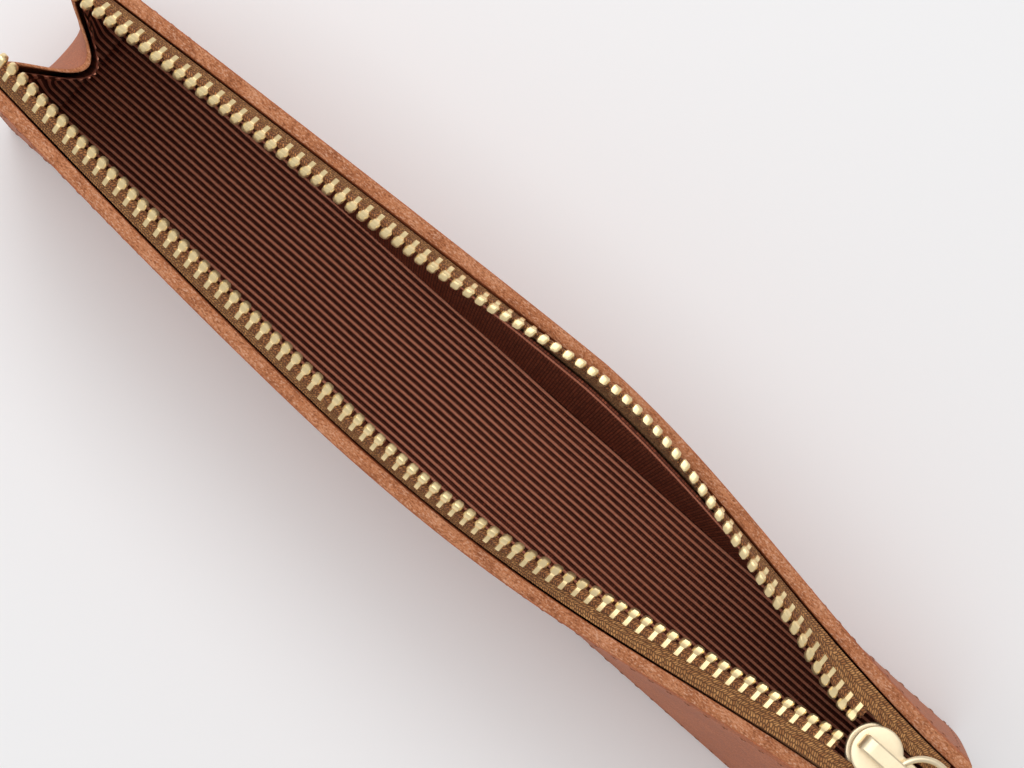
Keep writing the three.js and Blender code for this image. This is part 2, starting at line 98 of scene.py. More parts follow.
# %% Driving sizes
HALF_LENGTH, BASE_HALF_WIDTH, HEIGHT = 88.5, 14.0, 40.0
SIDE_THICKNESS, BASE_THICKNESS, LINING_THICKNESS = 2.2, 1.8, 0.4
CLEARANCE = 0.3
LEAN_POWER, SLIDER_END_LEAN, LEAN_START = 1.25, 2.1, 70.0
BEND_RADIUS, OPEN_END_TOP, OPEN_END_BOW, BOW_POWER = 4.7, 37.0, 10.0, 1.3
SLIDER_END_TOP, END_INSET, END_EDGE_THICKNESS = 38.5, 0.7, 0.8
END_BEND_START = HALF_LENGTH - END_INSET - BEND_RADIUS
BASE_REACH = END_BEND_START - CLEARANCE
TAPE_THICKNESS, TAPE_SEWN_DEPTH, TAPE_ROOT_DROP = 0.5, 8.0, 0.4
STRIP_WIDTH, STRIP_EXTRA = 4.3, 1.3
TOOTH_LENGTH, TOOTH_PITCH = 3.0, 2.08
FLAT_AT, ROOT_RISE_FROM = 68.0, 54.0
SLIDER = np.array([73.6, 1.5, 40.7])
SPLIT = {"front": -8.0, "back": 10.0}  # where each side of the mouth is cut in two, so that it can bend
SIGN = {"front": -1.0, "back": 1.0}
TEETH_OPEN_X, TEETH_SLIDER_X = -85.0, 68.8
TAPE_OPEN_X, TAPE_SLIDER_X = -87.5, 85.0
MOUTH_FROM = 22.0  # the leather starts to give at this height when the mouth closes
EASE_FROM = 63.6  # from here to the slider the leather eases out of that movement


# %% Curves
def smooth(low, high, x):
    """An S-shaped step from 0 at low to 1 at high: three times the share squared, less twice its cube."""
    t = np.clip((x - low) / (high - low), 0, 1)
    return t * t * (3 - 2 * t)


def bell(centre, width, x):
    """A bell curve, 1 at its centre."""
    return np.exp(-(((x - centre) / width) ** 2))


def rim_at(side, x):
    """A rim's distance from the centre plane, widest at its peak. It falls to the open end by a power of
    the share of the way there. To the slider end it falls by the sine squared of a quarter turn times
    such a power, so it levels out again."""
    peak_x, peak_y, open_y, open_power, slider_y, slider_power = {
        "front": (-12.6, 17.3, 12.7, 1.45, 6.4, 1.2),
        "back": (8.0, 17.7, 11.4, 1.15, 9.6, 0.97),
    }[side]
    to_open = np.clip((peak_x - x) / (peak_x + HALF_LENGTH), 0, 1) ** open_power
    to_slider = np.clip((x - peak_x) / (HALF_LENGTH - peak_x), 0, 1) ** slider_power
    towards_slider = np.sin(np.pi / 2 * to_slider) ** 2
    return peak_y - (peak_y - open_y) * to_open - (peak_y - slider_y) * towards_slider


def panel_outer(side, x, z):
    """Outer face of a side panel: from the base width to the rim by a power of the height."""
    share = np.clip(z / HEIGHT, 0, 1) ** LEAN_POWER
    return BASE_HALF_WIDTH + (rim_at(side, x) - BASE_HALF_WIDTH) * share


def panel_inner(side, x, z):
    """Inner face of a side panel: the outer face less the leather."""
    return panel_outer(side, x, z) - SIDE_THICKNESS


def place(x, y, z):
    """Puts a point in the case: the slider end leans back towards the middle as it rises."""
    lean = SLIDER_END_LEAN * np.clip(z / HEIGHT, 0, 1.1) * smooth(LEAN_START, HALF_LENGTH, x)
    return np.stack(np.broadcast_arrays(x - lean, y, z), axis=-1)


def tilt_at(side, x):
    """How far the zip's strip rises above level, in radians."""
    if side == "front":
        standing = (38 + 16 * bell(0, 20, x)) * (1 - 0.72 * smooth(12, 36, x))
        degrees = standing * (1 - smooth(58, FLAT_AT, x))
    else:
        standing = 57 * bell(15, 26, x) * (1 - smooth(48, FLAT_AT, x))
        degrees = standing + 42 * (1 - smooth(52, FLAT_AT, x))
    return np.radians(degrees)


def strip_width(side, x):
    """Tape and teeth that show, from the rim to the teeth's tips."""
    low, high = (8, 60) if side == "front" else (28, FLAT_AT)
    return STRIP_WIDTH + STRIP_EXTRA * smooth(low, high, x)


def tape_root(x):
    """Height at which the tape turns over the rim: a little under it, rising to the slider's own level."""
    low = HEIGHT - TAPE_ROOT_DROP
    return low + (SLIDER[2] - low) * smooth(ROOT_RISE_FROM, FLAT_AT, x)


def strip_point(side, x, along, across):
    """A point of the zip's strip. along runs from the rim towards the tips, across is square to it."""
    tilt = tilt_at(side, x)
    root_z = tape_root(x)
    inwards = CLEARANCE + TAPE_THICKNESS / 2 + along * np.cos(tilt) - across * np.sin(tilt)
    z = root_z + along * np.sin(tilt) + across * np.cos(tilt)
    return place(x, SIGN[side] * (panel_inner(side, x, root_z) - inwards), z)


def tape_step(z):
    """The linings and ends step inwards near the rim, over the sewn part of the tape."""
    return (TAPE_THICKNESS + CLEARANCE + 0.1) * smooth(HEIGHT - 10.0, HEIGHT - 8.6, z)


print("mouth at its widest:", round(float(rim_at("front", -12.6) + rim_at("back", 8.0)), 1), "mm")

# %% [markdown]
# ## From arrays to meshes
# A surface is a grid of points worked out as one array. These helpers put such grids into meshes. A
# closed section carried along a path makes a shell, and its two ends are closed by a flat face each.
# Quads keep their order from the grid, and whether a shell points outwards is measured from its volume.


# %% Mesh helpers
def make_object(name, points, faces, material_index=None, smooth_faces=True):
    """A mesh object from points in millimetres and faces as lists of corners."""
    mesh = bpy.data.meshes.new(name)
    mesh.from_pydata((np.asarray(points, float).reshape(-1, 3) * MM).tolist(), [], faces)
    mesh.polygons.foreach_set("use_smooth", [smooth_faces] * len(mesh.polygons))
    if material_index is not None:
        mesh.polygons.foreach_set("material_index", material_index)
    mesh.update()
    obj = bpy.data.objects.new(name, mesh)
    bpy.context.scene.collection.objects.link(obj)
    return obj


def grid_faces(rows, columns, wrap):
    """Corner indices of a grid's quads, as one array. wrap joins the last column to the first."""
    r = np.arange(rows - 1)[:, None]
    c = np.arange(columns if wrap else columns - 1)[None, :]
    n = (c + 1) % columns
    here, ahead = r * columns, (r + 1) * columns
    return np.stack([here + c, ahead + c, ahead + n, here + n], axis=-1).reshape(-1, 4)


def volume(points, quads):
    """Six times the signed volume under the quads, which is positive when they face outwards."""
    a, b, c, d = (points[quads[:, k]] for k in range(4))
    return np.einsum("ij,ij->i", a, np.cross(b, c)).sum() + np.einsum("ij,ij->i", a, np.cross(c, d)).sum()


def write_uv(obj, uv):
    """Stores each point's own place on the surface, in millimetres, as the mesh's UV map."""
    layer = obj.data.uv_layers.new(name="surface")
    corners = np.zeros(len(obj.data.loops), np.int32)
    obj.data.loops.foreach_get("vertex_index", corners)
    layer.data.foreach_set("uv", np.asarray(uv, np.float32).reshape(-1, 2)[corners].ravel())


def shell(name, rings, uv=None, section_materials=None):
    """A closed body from rings of equal length: quads between them and one flat face over each end."""
    rings = np.asarray(rings, float)
    rows, columns = rings.shape[:2]
    points = rings.reshape(-1, 3)
    quads = grid_faces(rows, columns, True)
    centred = points - points.mean(axis=0)
    first, last = list(range(columns)), list(range((rows - 1) * columns, rows * columns))
    # The two end faces are left out of this sum, which doesn't change its sign for any body made here.
    if volume(centred, quads) < 0:
        quads = quads[:, ::-1]
        faces = quads.tolist() + [first[::-1], last]
    else:
        faces = quads.tolist() + [first, last[::-1]]
    index = None
    if section_materials is not None:
        index = np.concatenate([np.tile(section_materials, rows - 1), [section_materials[0]] * 2])
    obj = make_object(name, points, faces, index)
    if uv is not None:
        write_uv(obj, uv)
    return obj


def copies(name, solids):
    """One mesh from many small closed solids, given as an array of copies, rings, points and x, y, z. The
    faces of each copy are those of the first, offset by the number of points in one."""
    count, rows, columns = solids.shape[:3]
    quads = grid_faces(rows, columns, True)
    first, last = solids[0].reshape(-1, 3), (rows - 1) * columns
    one = quads.tolist() + [list(range(columns)), list(range(last, last + columns))[::-1]]
    if volume(first - first.mean(axis=0), quads) < 0:
        one = [face[::-1] for face in one]
    faces = [[corner + k * rows * columns for corner in face] for k in range(count) for face in one]
    return make_object(name, solids, faces)


def finish_piece(obj, body, slot, materials, *nodes, sharp=40):
    """Gives a piece its materials and sharp edges, attaches it to its body when that is a name and otherwise
    leaves it where it is, and hides the frame's nodes that it stands for. The slot is not used.
    """
    for material in materials:
        obj.data.materials.append(material)
    if sharp is not None:
        obj.data.set_sharp_from_angle(angle=math.radians(sharp))
    if isinstance(body, str):
        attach(obj, body)
    else:
        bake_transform(obj)
    if nodes:
        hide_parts(*nodes)
    return obj


# %% [markdown]
# ## Shared shader groups
# Leather, cut edges, tape and lining all need small random relief, and several need a colour that drifts
# over the surface. Each effect is a node group with named inputs, made once. A group puts out only
# colours, masks and normals, and the shader itself stays in each material.


# %% Node helpers
def new_group(name, inputs, outputs):
    """An empty shader group with the named sockets. Each input is (name, kind, value)."""
    group = bpy.data.node_groups.new(name, "ShaderNodeTree")
    for label, kind, value in inputs:
        socket = group.interface.new_socket(label, in_out="INPUT", socket_type=kind)
        if value is not None:
            socket.default_value = value
    for label, kind in outputs:
        group.interface.new_socket(label, in_out="OUTPUT", socket_type=kind)
    return group, group.nodes.new("NodeGroupInput"), group.nodes.new("NodeGroupOutput")


def feed(tree, socket, value):
    """Links a socket to another socket, or sets it to a plain value."""
    if isinstance(value, bpy.types.NodeSocket):
        tree.links.new(value, socket)
    else:
        socket.default_value = value


def add(tree, kind, settings=(), **values):
    """Adds a node, sets its properties and fills or links its inputs by name, or by number after i_."""
    node = tree.nodes.new("ShaderNode" + kind)
    for key, value in settings:
        setattr(node, key, value)
    for key, value in values.items():
        feed(tree, node.inputs[int(key[2:]) if key.startswith("i_") else key.replace("_", " ")], value)
    return node


def mixed(tree, mask, first, second):
    """A colour between first and second by the mask."""
    node = tree.nodes.new("ShaderNodeMix")
    node.data_type = "RGBA"
    for place_in, value in zip((0, 6, 7), (mask, first, second)):
        feed(tree, node.inputs[place_in], value)
    return node.outputs[2]


def maths(tree, operation, *values):
    """One step of arithmetic on sockets or numbers."""
    node = tree.nodes.new("ShaderNodeMath")
    node.operation = operation
    for socket, value in zip(node.inputs, values):
        feed(tree, socket, value)
    return node.outputs[0]


def ramp(tree, value, *stops):
    """A colour ramp through (place, grey or colour) stops."""
    node = tree.nodes.new("ShaderNodeValToRGB")
    tree.links.new(value, node.inputs[0])
    elements = node.color_ramp.elements
    while len(elements) < len(stops):
        elements.new(0.5)
    for element, (where, colour) in zip(elements, stops):
        element.position = where
        element.color = (colour, colour, colour, 1) if isinstance(colour, float) else colour
    return node.outputs[0]


def close_group(group, out, **results):
    """Links a group's results to its outputs, and returns the group."""
    for label, result in results.items():
        group.links.new(result, out.inputs[label])
    return group


def srgb(red, green, blue):
    """A colour from 0 to 255 as seen on a screen, turned into the shader's linear values."""
    share = np.array([red, green, blue]) / 255
    linear = np.where(share <= 0.04045, share / 12.92, ((share + 0.055) / 1.055) ** 2.4)
    return (*linear.tolist(), 1.0)


# %% Drift: slow patches of tone
def make_drift():
    """Tone mixes a colour towards a darker and a lighter one by two layers of noise, and Mask is the
    sum of the layers."""
    group, given, out = new_group(
        "tone drift",
        [("Vector", "NodeSocketVector", None), ("Colour", "NodeSocketColor", (0.5, 0.5, 0.5, 1)),
         ("Dark", "NodeSocketColor", (0.2, 0.2, 0.2, 1)), ("Light", "NodeSocketColor", (0.8, 0.8, 0.8, 1)),
         ("Scale", "NodeSocketFloat", 100.0), ("Amount", "NodeSocketFloat", 0.5)],
        [("Tone", "NodeSocketColor"), ("Mask", "NodeSocketFloat")])
    g = given.outputs
    coarse = add(group, "TexNoise", Vector=g["Vector"], Scale=g["Scale"], Detail=5.0, Roughness=0.6)
    fine_scale = maths(group, "MULTIPLY", g["Scale"], 7.0)
    fine = add(group, "TexNoise", Vector=g["Vector"], Scale=fine_scale, Detail=3.0, Roughness=0.7)
    both = maths(group, "ADD", maths(group, "MULTIPLY", coarse.outputs[0], 0.6),
                 maths(group, "MULTIPLY", fine.outputs[0], 0.4))
    dark = maths(group, "MULTIPLY", ramp(group, both, (0.30, 1.0), (0.50, 0.0)), g["Amount"])
    light = maths(group, "MULTIPLY", ramp(group, both, (0.50, 0.0), (0.70, 1.0)), g["Amount"])
    tone = mixed(group, light, mixed(group, dark, g["Colour"], g["Dark"]), g["Light"])
    return close_group(group, out, Tone=tone, Mask=both)


# %% Grain: the pores and creases of leather
def make_grain():
    """Normal is a bump from rounded cells with fine noise between them, and Pore is 1 in the creases."""
    group, given, out = new_group(
        "leather grain",
        [("Vector", "NodeSocketVector", None), ("Scale", "NodeSocketFloat", 1500.0),
         ("Depth", "NodeSocketFloat", 0.00005), ("Strength", "NodeSocketFloat", 0.5)],
        [("Normal", "NodeSocketVector"), ("Pore", "NodeSocketFloat")])
    g = given.outputs
    bend = add(group, "TexNoise", Vector=g["Vector"], Scale=900.0, Detail=3.0)
    shift = add(group, "VectorMath", (("operation", "SCALE"),), i_0=bend.outputs[1], Scale=0.0006)
    moved = add(group, "VectorMath", (("operation", "ADD"),), i_0=g["Vector"], i_1=shift.outputs[0])
    cells = add(group, "TexVoronoi", (("feature", "DISTANCE_TO_EDGE"),), Vector=moved.outputs[0],
                Scale=g["Scale"])
    pore = ramp(group, cells.outputs[0], (0.0, 1.0), (0.22, 0.0))
    fine_scale = maths(group, "MULTIPLY", g["Scale"], 2.5)
    fine = add(group, "TexNoise", Vector=g["Vector"], Scale=fine_scale, Detail=4.0)
    height = maths(group, "SUBTRACT", maths(group, "MULTIPLY", fine.outputs[0], 0.6), pore)
    bump = add(group, "Bump", Strength=g["Strength"], Distance=g["Depth"], Height=height)
    return close_group(group, out, Normal=bump.outputs[0], Pore=pore)


# %% Weave: the thread grains of a tape or ribbon
def make_weave():
    """On the piece's own UV, in millimetres, columns lean one way and then the other. Stretched cells with
    a limited randomness make grains of thread: Thread is 0 in the gaps and 1 on a grain, Tint is a
    steady random value for each grain, and Normal is the bump of both with a little fuzz."""
    group, given, out = new_group(
        "thread weave",
        [("Across", "NodeSocketFloat", 2.0), ("Along", "NodeSocketFloat", 2.0),
         ("Slant", "NodeSocketFloat", 0.0), ("Random", "NodeSocketFloat", 0.5),
         ("Depth", "NodeSocketFloat", 0.0001)],
        [("Normal", "NodeSocketVector"), ("Thread", "NodeSocketFloat"), ("Tint", "NodeSocketFloat")])
    g = given.outputs
    uv = add(group, "UVMap", (("uv_map", "surface"),))
    parts = add(group, "SeparateXYZ", Vector=uv.outputs[0])
    columns = maths(group, "PINGPONG", parts.outputs[1], 1.0)
    slanted = maths(group, "ADD", parts.outputs[0], maths(group, "MULTIPLY", columns, g["Slant"]))
    grid = add(group, "CombineXYZ", X=maths(group, "MULTIPLY", slanted, g["Along"]),
               Y=maths(group, "MULTIPLY", parts.outputs[1], g["Across"]))
    edge = add(group, "TexVoronoi", (("feature", "DISTANCE_TO_EDGE"), ("voronoi_dimensions", "2D")),
               Vector=grid.outputs[0], Scale=1.0, Randomness=g["Random"])
    cell = add(group, "TexVoronoi", (("voronoi_dimensions", "2D"),),
               Vector=grid.outputs[0], Scale=1.0, Randomness=g["Random"])
    fuzz = add(group, "TexNoise", Vector=uv.outputs[0], Scale=6.0, Detail=4.0, Roughness=0.7)
    thread = ramp(group, edge.outputs[0], (0.02, 0.0), (0.24, 1.0))
    height = maths(group, "ADD", thread, maths(group, "MULTIPLY", fuzz.outputs[0], 0.9))
    bump = add(group, "Bump", Strength=0.9, Distance=g["Depth"], Height=height)
    chance = add(group, "SeparateColor", Color=cell.outputs[1]).outputs[0]
    tint = maths(group, "FRACT", maths(group, "MULTIPLY", chance, 7.3))
    return close_group(group, out, Normal=bump.outputs[0], Thread=thread, Tint=tint)


drift_group, grain_group, weave_group = make_drift(), make_grain(), make_weave()
print("shader groups:", [g.name for g in (drift_group, grain_group, weave_group)])

# %% [markdown]
# ## Finishes
# The leather has two faces: a smooth brown outside with a satin finish, and a raw, fibrous cut edge with
# a finer, more broken tone. The lining is a ribbed ribbon, with painted shade in its troughs and a pink
# painted highlight on its ridges.
# The tape is a coarse golden-brown herringbone. The teeth are pale brass and the slider is a creamier
# plate. Constants such as roughness sit on the shader's own sockets.


# %% Material helpers
def new_material(name):
    """A material with its shader and the object's own coordinates ready to use."""
    material = bpy.data.materials.new(name)
    material.use_nodes = True
    tree = material.node_tree
    shader = tree.nodes["Principled BSDF"]
    return material, tree, shader, tree.nodes.new("ShaderNodeTexCoord").outputs["Object"]


def use_group(tree, group, **values):
    """Places a shader group and fills or links its inputs by name."""
    node = tree.nodes.new("ShaderNodeGroup")
    node.node_tree = group
    for key, value in values.items():
        feed(tree, node.inputs[key], value)
    return node


def shade(tree, shader, **values):
    """Fills or links the shader's own sockets by name."""
    for key, value in values.items():
        feed(tree, shader.inputs[key.replace("_", " ")], value)


# %% Leather finishes
def leather_face():
    """Smooth outer leather: drifting tone, fine pores with painted shade in them, and a satin finish."""
    material, tree, shader, place_on = new_material("leather face")
    tone = use_group(tree, drift_group, Vector=place_on, Colour=srgb(186, 108, 70), Dark=srgb(154, 82, 50),
                     Light=srgb(208, 132, 94), Scale=90.0, Amount=0.6)
    grain = use_group(tree, grain_group, Vector=place_on, Scale=1700.0, Depth=0.00006, Strength=0.5)
    # Painted shade: the grain's pores and creases are darkened towards a deep brown.
    colour = mixed(tree, maths(tree, "MULTIPLY", grain.outputs["Pore"], 0.4), tone.outputs["Tone"],
                   srgb(112, 60, 38))
    rough = add(tree, "MapRange", Value=tone.outputs["Mask"], i_3=0.5, i_4=0.7)
    shade(tree, shader, Base_Color=colour, Normal=grain.outputs["Normal"], Roughness=rough.outputs[0],
          Specular_IOR_Level=0.22)
    return material


def leather_cut():
    """Raw cut edge: short fibres drawn out along the case over coarser mottling, with pale specks where
    single fibres catch the light, and painted shade in the low pits between the fibres."""
    material, tree, shader, place_on = new_material("leather cut edge")
    drawn = add(tree, "Mapping", Vector=place_on, Scale=(0.45, 1.0, 1.0))
    tone = use_group(tree, drift_group, Vector=drawn.outputs[0], Colour=srgb(184, 116, 76),
                     Dark=srgb(128, 68, 38), Light=srgb(212, 150, 112), Scale=620.0, Amount=0.9)
    fibre = add(tree, "TexNoise", Vector=drawn.outputs[0], Scale=4400.0, Detail=3.0, Roughness=0.65)
    # Painted highlight on the high fibres and painted shade in the low pits, from the noise that also drives
    # the bump.
    speck = ramp(tree, fibre.outputs[0], (0.54, 0.0), (0.64, 0.6))
    pit_shade = ramp(tree, fibre.outputs[0], (0.35, 0.6), (0.46, 0.0))
    colour = mixed(tree, pit_shade, mixed(tree, speck, tone.outputs["Tone"], srgb(226, 178, 150)), srgb(96, 48, 26))
    bump = add(tree, "Bump", Strength=0.9, Distance=0.00025, Height=fibre.outputs[0])
    shade(tree, shader, Base_Color=colour, Normal=bump.outputs[0], Roughness=0.8, Specular_IOR_Level=0.25)
    return material


# %% Fabric finishes
def lining(name, trough_shade, trough_light, ridge_highlight, along, across):
    """Ribbed ribbon: the piece's own rib height, kept as an attribute, mixes painted shade in the troughs
    with a pink painted highlight on the ridges. The cross threads show as lighter grains over the painted
    shade of the troughs and as faint notches of brighter painted highlight on the ridges."""
    material, tree, shader, _ = new_material(name)
    rib = add(tree, "Attribute", (("attribute_name", "rib"),)).outputs["Fac"]
    weave = use_group(tree, weave_group, Across=across, Along=along, Slant=0.0, Random=0.25, Depth=0.00008)
    each = maths(tree, "MULTIPLY_ADD", weave.outputs["Tint"], 0.6, 0.4)
    lit = maths(tree, "MULTIPLY", weave.outputs["Thread"], each)
    # Painted shade in the troughs, darkest in the gaps between the cross threads.
    trough = mixed(tree, lit, trough_shade, trough_light)
    # Painted highlight on the ridges and painted shade in the troughs, by the rib height.
    ridge = ramp(tree, rib, (0.30, 0.0), (0.62, 1.0))
    # Painted highlight, brighter still over the cross threads on the ridges.
    wear_and_highlight = mixed(tree, maths(tree, "MULTIPLY", lit, 0.35), ridge_highlight, srgb(232, 176, 160))
    colour = mixed(tree, ridge, trough, wear_and_highlight)
    shade(tree, shader, Base_Color=colour, Normal=weave.outputs["Normal"], Roughness=0.7,
          Specular_IOR_Level=0.25)
    return material


def woven_tape(name, colour, dark, light, gap_shade):
    """Zip tape: leaning grains of thread with painted shade in the gaps between them, each grain a tone of
    its own.
    """
    material, tree, shader, place_on = new_material(name)
    weave = use_group(tree, weave_group, Across=1.9, Along=2.6, Slant=0.75, Random=0.55, Depth=0.00022)
    tone = use_group(tree, drift_group, Vector=place_on, Colour=colour, Dark=dark, Light=light,
                     Scale=500.0, Amount=0.5)
    grains = mixed(tree, weave.outputs["Tint"], dark, light)
    threads = mixed(tree, 0.5, tone.outputs["Tone"], grains)
    # Painted shade in the gaps between the grains of thread.
    solid = maths(tree, "MULTIPLY_ADD", weave.outputs["Thread"], 0.85, 0.15)
    shade(tree, shader, Base_Color=mixed(tree, solid, gap_shade, threads), Normal=weave.outputs["Normal"],
          Roughness=0.85, Specular_IOR_Level=0.3, Sheen_Weight=0.05)
    return material


def thread_waxed():
    """Waxed sewing thread: a fine twist, painted darker in its grooves and lighter on its crowns as shade and
    highlight, and a little shine.
    """
    material, tree, shader, place_on = new_material("waxed thread")
    twist = add(tree, "TexWave", (("bands_direction", "DIAGONAL"),), Vector=place_on, Scale=900.0,
                Distortion=1.0)
    bump = add(tree, "Bump", Strength=0.6, Distance=0.00008, Height=twist.outputs[1])
    # Painted shade and highlight: the colour follows the twist's bands, as the bump does.
    colour = mixed(tree, twist.outputs[1], srgb(124, 70, 44), srgb(168, 106, 74))
    shade(tree, shader, Base_Color=colour, Normal=bump.outputs[0], Roughness=0.55)
    return material


# %% Metal finishes
def metal(name, colour, wear_and_highlight, roughness):
    """Plated metal: a slight drift of tone and small tumbling marks that vary the roughness."""
    material, tree, shader, place_on = new_material(name)
    tone = use_group(tree, drift_group, Vector=place_on, Colour=colour, Dark=wear_and_highlight, Light=colour,
                     Scale=260.0, Amount=0.3)
    marks = add(tree, "TexNoise", Vector=place_on, Scale=1500.0, Detail=4.0, Roughness=0.6)
    bump = add(tree, "Bump", Strength=0.15, Distance=0.00003, Height=marks.outputs[0])
    rough = add(tree, "MapRange", Value=marks.outputs[0], i_3=roughness * 0.8, i_4=roughness * 1.25)
    shade(tree, shader, Base_Color=tone.outputs["Tone"], Roughness=rough.outputs[0], Normal=bump.outputs[0],
          Metallic=0.85)
    return material


FACE, CUT, THREAD = leather_face(), leather_cut(), thread_waxed()
# Each lining's colours: the troughs' painted shade, their lighter threads, and the ridges' pink painted
# highlight.
FLOOR_LINING = lining("floor lining", srgb(64, 27, 16), srgb(128, 62, 40), srgb(238, 152, 116), 2.4, 1.0)
WALL_LINING = lining("wall lining", srgb(60, 24, 15), srgb(184, 100, 70), srgb(226, 140, 106), 1.3, 2.0)
TAPE = woven_tape("zip tape", srgb(184, 124, 72), srgb(142, 88, 48), srgb(226, 168, 106), srgb(84, 48, 25))
CORD = woven_tape("corded edge", srgb(170, 108, 62), srgb(134, 80, 44), srgb(204, 142, 90), srgb(78, 40, 22))
TEETH_BRASS = metal("teeth brass", srgb(255, 230, 176), srgb(226, 186, 122), 0.3)
SLIDER_PLATE = metal("slider plate", srgb(242, 224, 190), srgb(222, 196, 152), 0.36)
print("materials:", len(bpy.data.materials))

# %% [markdown]
# ## Side panels
# Each side is one thick piece of leather, cut flat and bowed by the open zip. Its section is carried
# along the case: up the outer face, over the raw cut rim, which is slightly crowned and frayed, and down
# the inner face. Two creases run just under the rim, pressed in by the edge tool. When the mouth closes
# the leather bends, so each panel is made in four lengths that meet exactly, each listed with what it
# would follow: the two halves of the mouth above a given height, a short length easing out of that, and
# the case. Only the last is attached, to the case; the other three are left where they are made.


# %% Panel surface
FOOT_ROUND = 1.6


def panel_section():
    """The closed section of a side panel, as offsets from the outer face and heights: outer face with two
    creases, crowned rim, inner face, and a foot with a rounded outer edge."""
    crease = [37.95, 38.15, 38.35, 38.75, 38.95, 39.15]
    depth = [0.0, 0.13, 0.0, 0.0, 0.16, 0.0]
    low = np.array([0.0, 0.25, 0.7, 1.6, 3.0])
    outer_z = np.concatenate([low, np.arange(5.0, 37.5, 2.0), crease, [39.6, 39.86]])
    above = FOOT_ROUND - np.minimum(outer_z, FOOT_ROUND)
    foot = FOOT_ROUND - np.sqrt(FOOT_ROUND**2 - above**2)
    pressed = np.interp(outer_z, crease, depth, left=0.0, right=0.0)
    rim_round = np.interp(outer_z, [39.15, 39.6, 39.86], [0.0, 0.04, 0.16])
    outer_in = foot + pressed + rim_round
    rim_in = np.array([0.4, 0.75, 1.1, 1.45, 1.8])
    rim_z = np.array([39.96, 40.0, 40.0, 40.0, 39.96])
    inner_z = np.concatenate([[39.84, 39.4], np.arange(37.0, 2.0, -2.5), [1.0, 0.0]])
    inner_in = np.full(len(inner_z), SIDE_THICKNESS)
    inner_in[0] = 2.08
    inwards = np.concatenate([outer_in, rim_in, inner_in])
    z = np.concatenate([outer_z, rim_z, inner_z])
    cut = np.concatenate([np.zeros(len(outer_z) - 1), np.ones(len(rim_in) + 1), np.zeros(len(inner_z))])
    cut[-1] = 1
    return inwards, z, cut.astype(int)


def fray(x, k):
    """Small steady unevenness of a hand-cut edge: a few waves of different lengths added together."""
    return 0.05 * np.sin(x * 1.7 + k) + 0.04 * np.sin(x * 4.3 + 2 * k) + 0.03 * np.sin(x * 9.1 + 3 * k)


def side_panel(side, name, start, stop):
    """One length of a side panel. At the case's upright ends the outer face rounds in."""
    inwards, z, cut = panel_section()
    count = int(round(abs(stop - start) / 0.6))
    x = np.linspace(start, stop, count + 1)
    ends = HALF_LENGTH - np.array([0.0, 0.12, 0.4, 0.9, 1.5, 2.0])
    if start <= -HALF_LENGTH:
        x = np.concatenate([-ends, x[x > -ends[-1] + 0.2]])
    if stop >= HALF_LENGTH:
        x = np.concatenate([x[x < ends[-1] - 0.2], ends[::-1]])
    gap = np.minimum(HALF_LENGTH - np.abs(x), 2.0)
    round_in = np.minimum(2.0 - np.sqrt(np.maximum(4.0 - (2.0 - gap) ** 2, 0)), 1.7)
    X, Z = np.meshgrid(x, z, indexing="ij")
    inward = np.maximum(np.broadcast_to(inwards, X.shape), round_in[:, None])
    inward = np.minimum(inward, SIDE_THICKNESS)
    is_rim = (Z > 39.7).astype(float)
    Z_cut = Z - is_rim * np.maximum(fray(X, 1.0) + 0.06, 0.0) * 1.2
    inward = inward + is_rim * np.where(inward < 1.0, np.abs(fray(X, 2.0)), 0)
    y = SIGN[side] * (panel_outer(side, X, np.minimum(Z_cut, HEIGHT)) - inward)
    return shell(name, place(X, y, Z_cut), section_materials=cut)


def mouth(side, half):
    """What the leather over one half of the mouth follows: the case at the foot, the zip at the rim."""
    return ("case", f"mouth_{side}_{half}", (0.0, 0.0, MOUTH_FROM * MM), (0.0, 0.0, HEIGHT * MM))


def easing(side):
    """What the leather beside the slider follows. Its share of the movement is the share of the height
    above where the leather gives, less the share of the way to the slider. That matches the next length
    at one edge and the fixed end at the other. The line's length is one over the slope's length."""
    slope = np.array([-1 / (SLIDER[0] - EASE_FROM), 0.0, 1 / (HEIGHT - MOUTH_FROM)])
    start = np.array([EASE_FROM, 0.0, MOUTH_FROM])
    end = start + slope / (slope @ slope)
    return ("case", f"mouth_{side}_slider", tuple((start * MM).tolist()), tuple((end * MM).tolist()))


def lengths(side):
    """The four lengths a side is made in, with what each follows."""
    return [
        ("open", -HALF_LENGTH, SPLIT[side], mouth(side, "open")),
        ("slider", SPLIT[side], EASE_FROM, mouth(side, "slider")),
        ("easing", EASE_FROM, float(SLIDER[0]), easing(side)),
        ("end", float(SLIDER[0]), HALF_LENGTH, "case"),
    ]


# %% Make the side panels
for side in ("front", "back"):
    for part, start, stop, follows in lengths(side):
        panel = side_panel(side, f"side_panel_{side}_{part}", start, stop)
        finish_piece(panel, follows, "leather", [FACE, CUT], f"side_panel_{side}")
        print(panel.name, len(panel.data.polygons), "faces")

# %% [markdown]
# ## Base and ends
# The base leather is one strip that turns up at both ends. At the open end its top folds in between the
# sides in a bow, and its top edge is skived thin. The section of an end is a quarter bend and a rise,
# carried across the case from one side panel to the other.


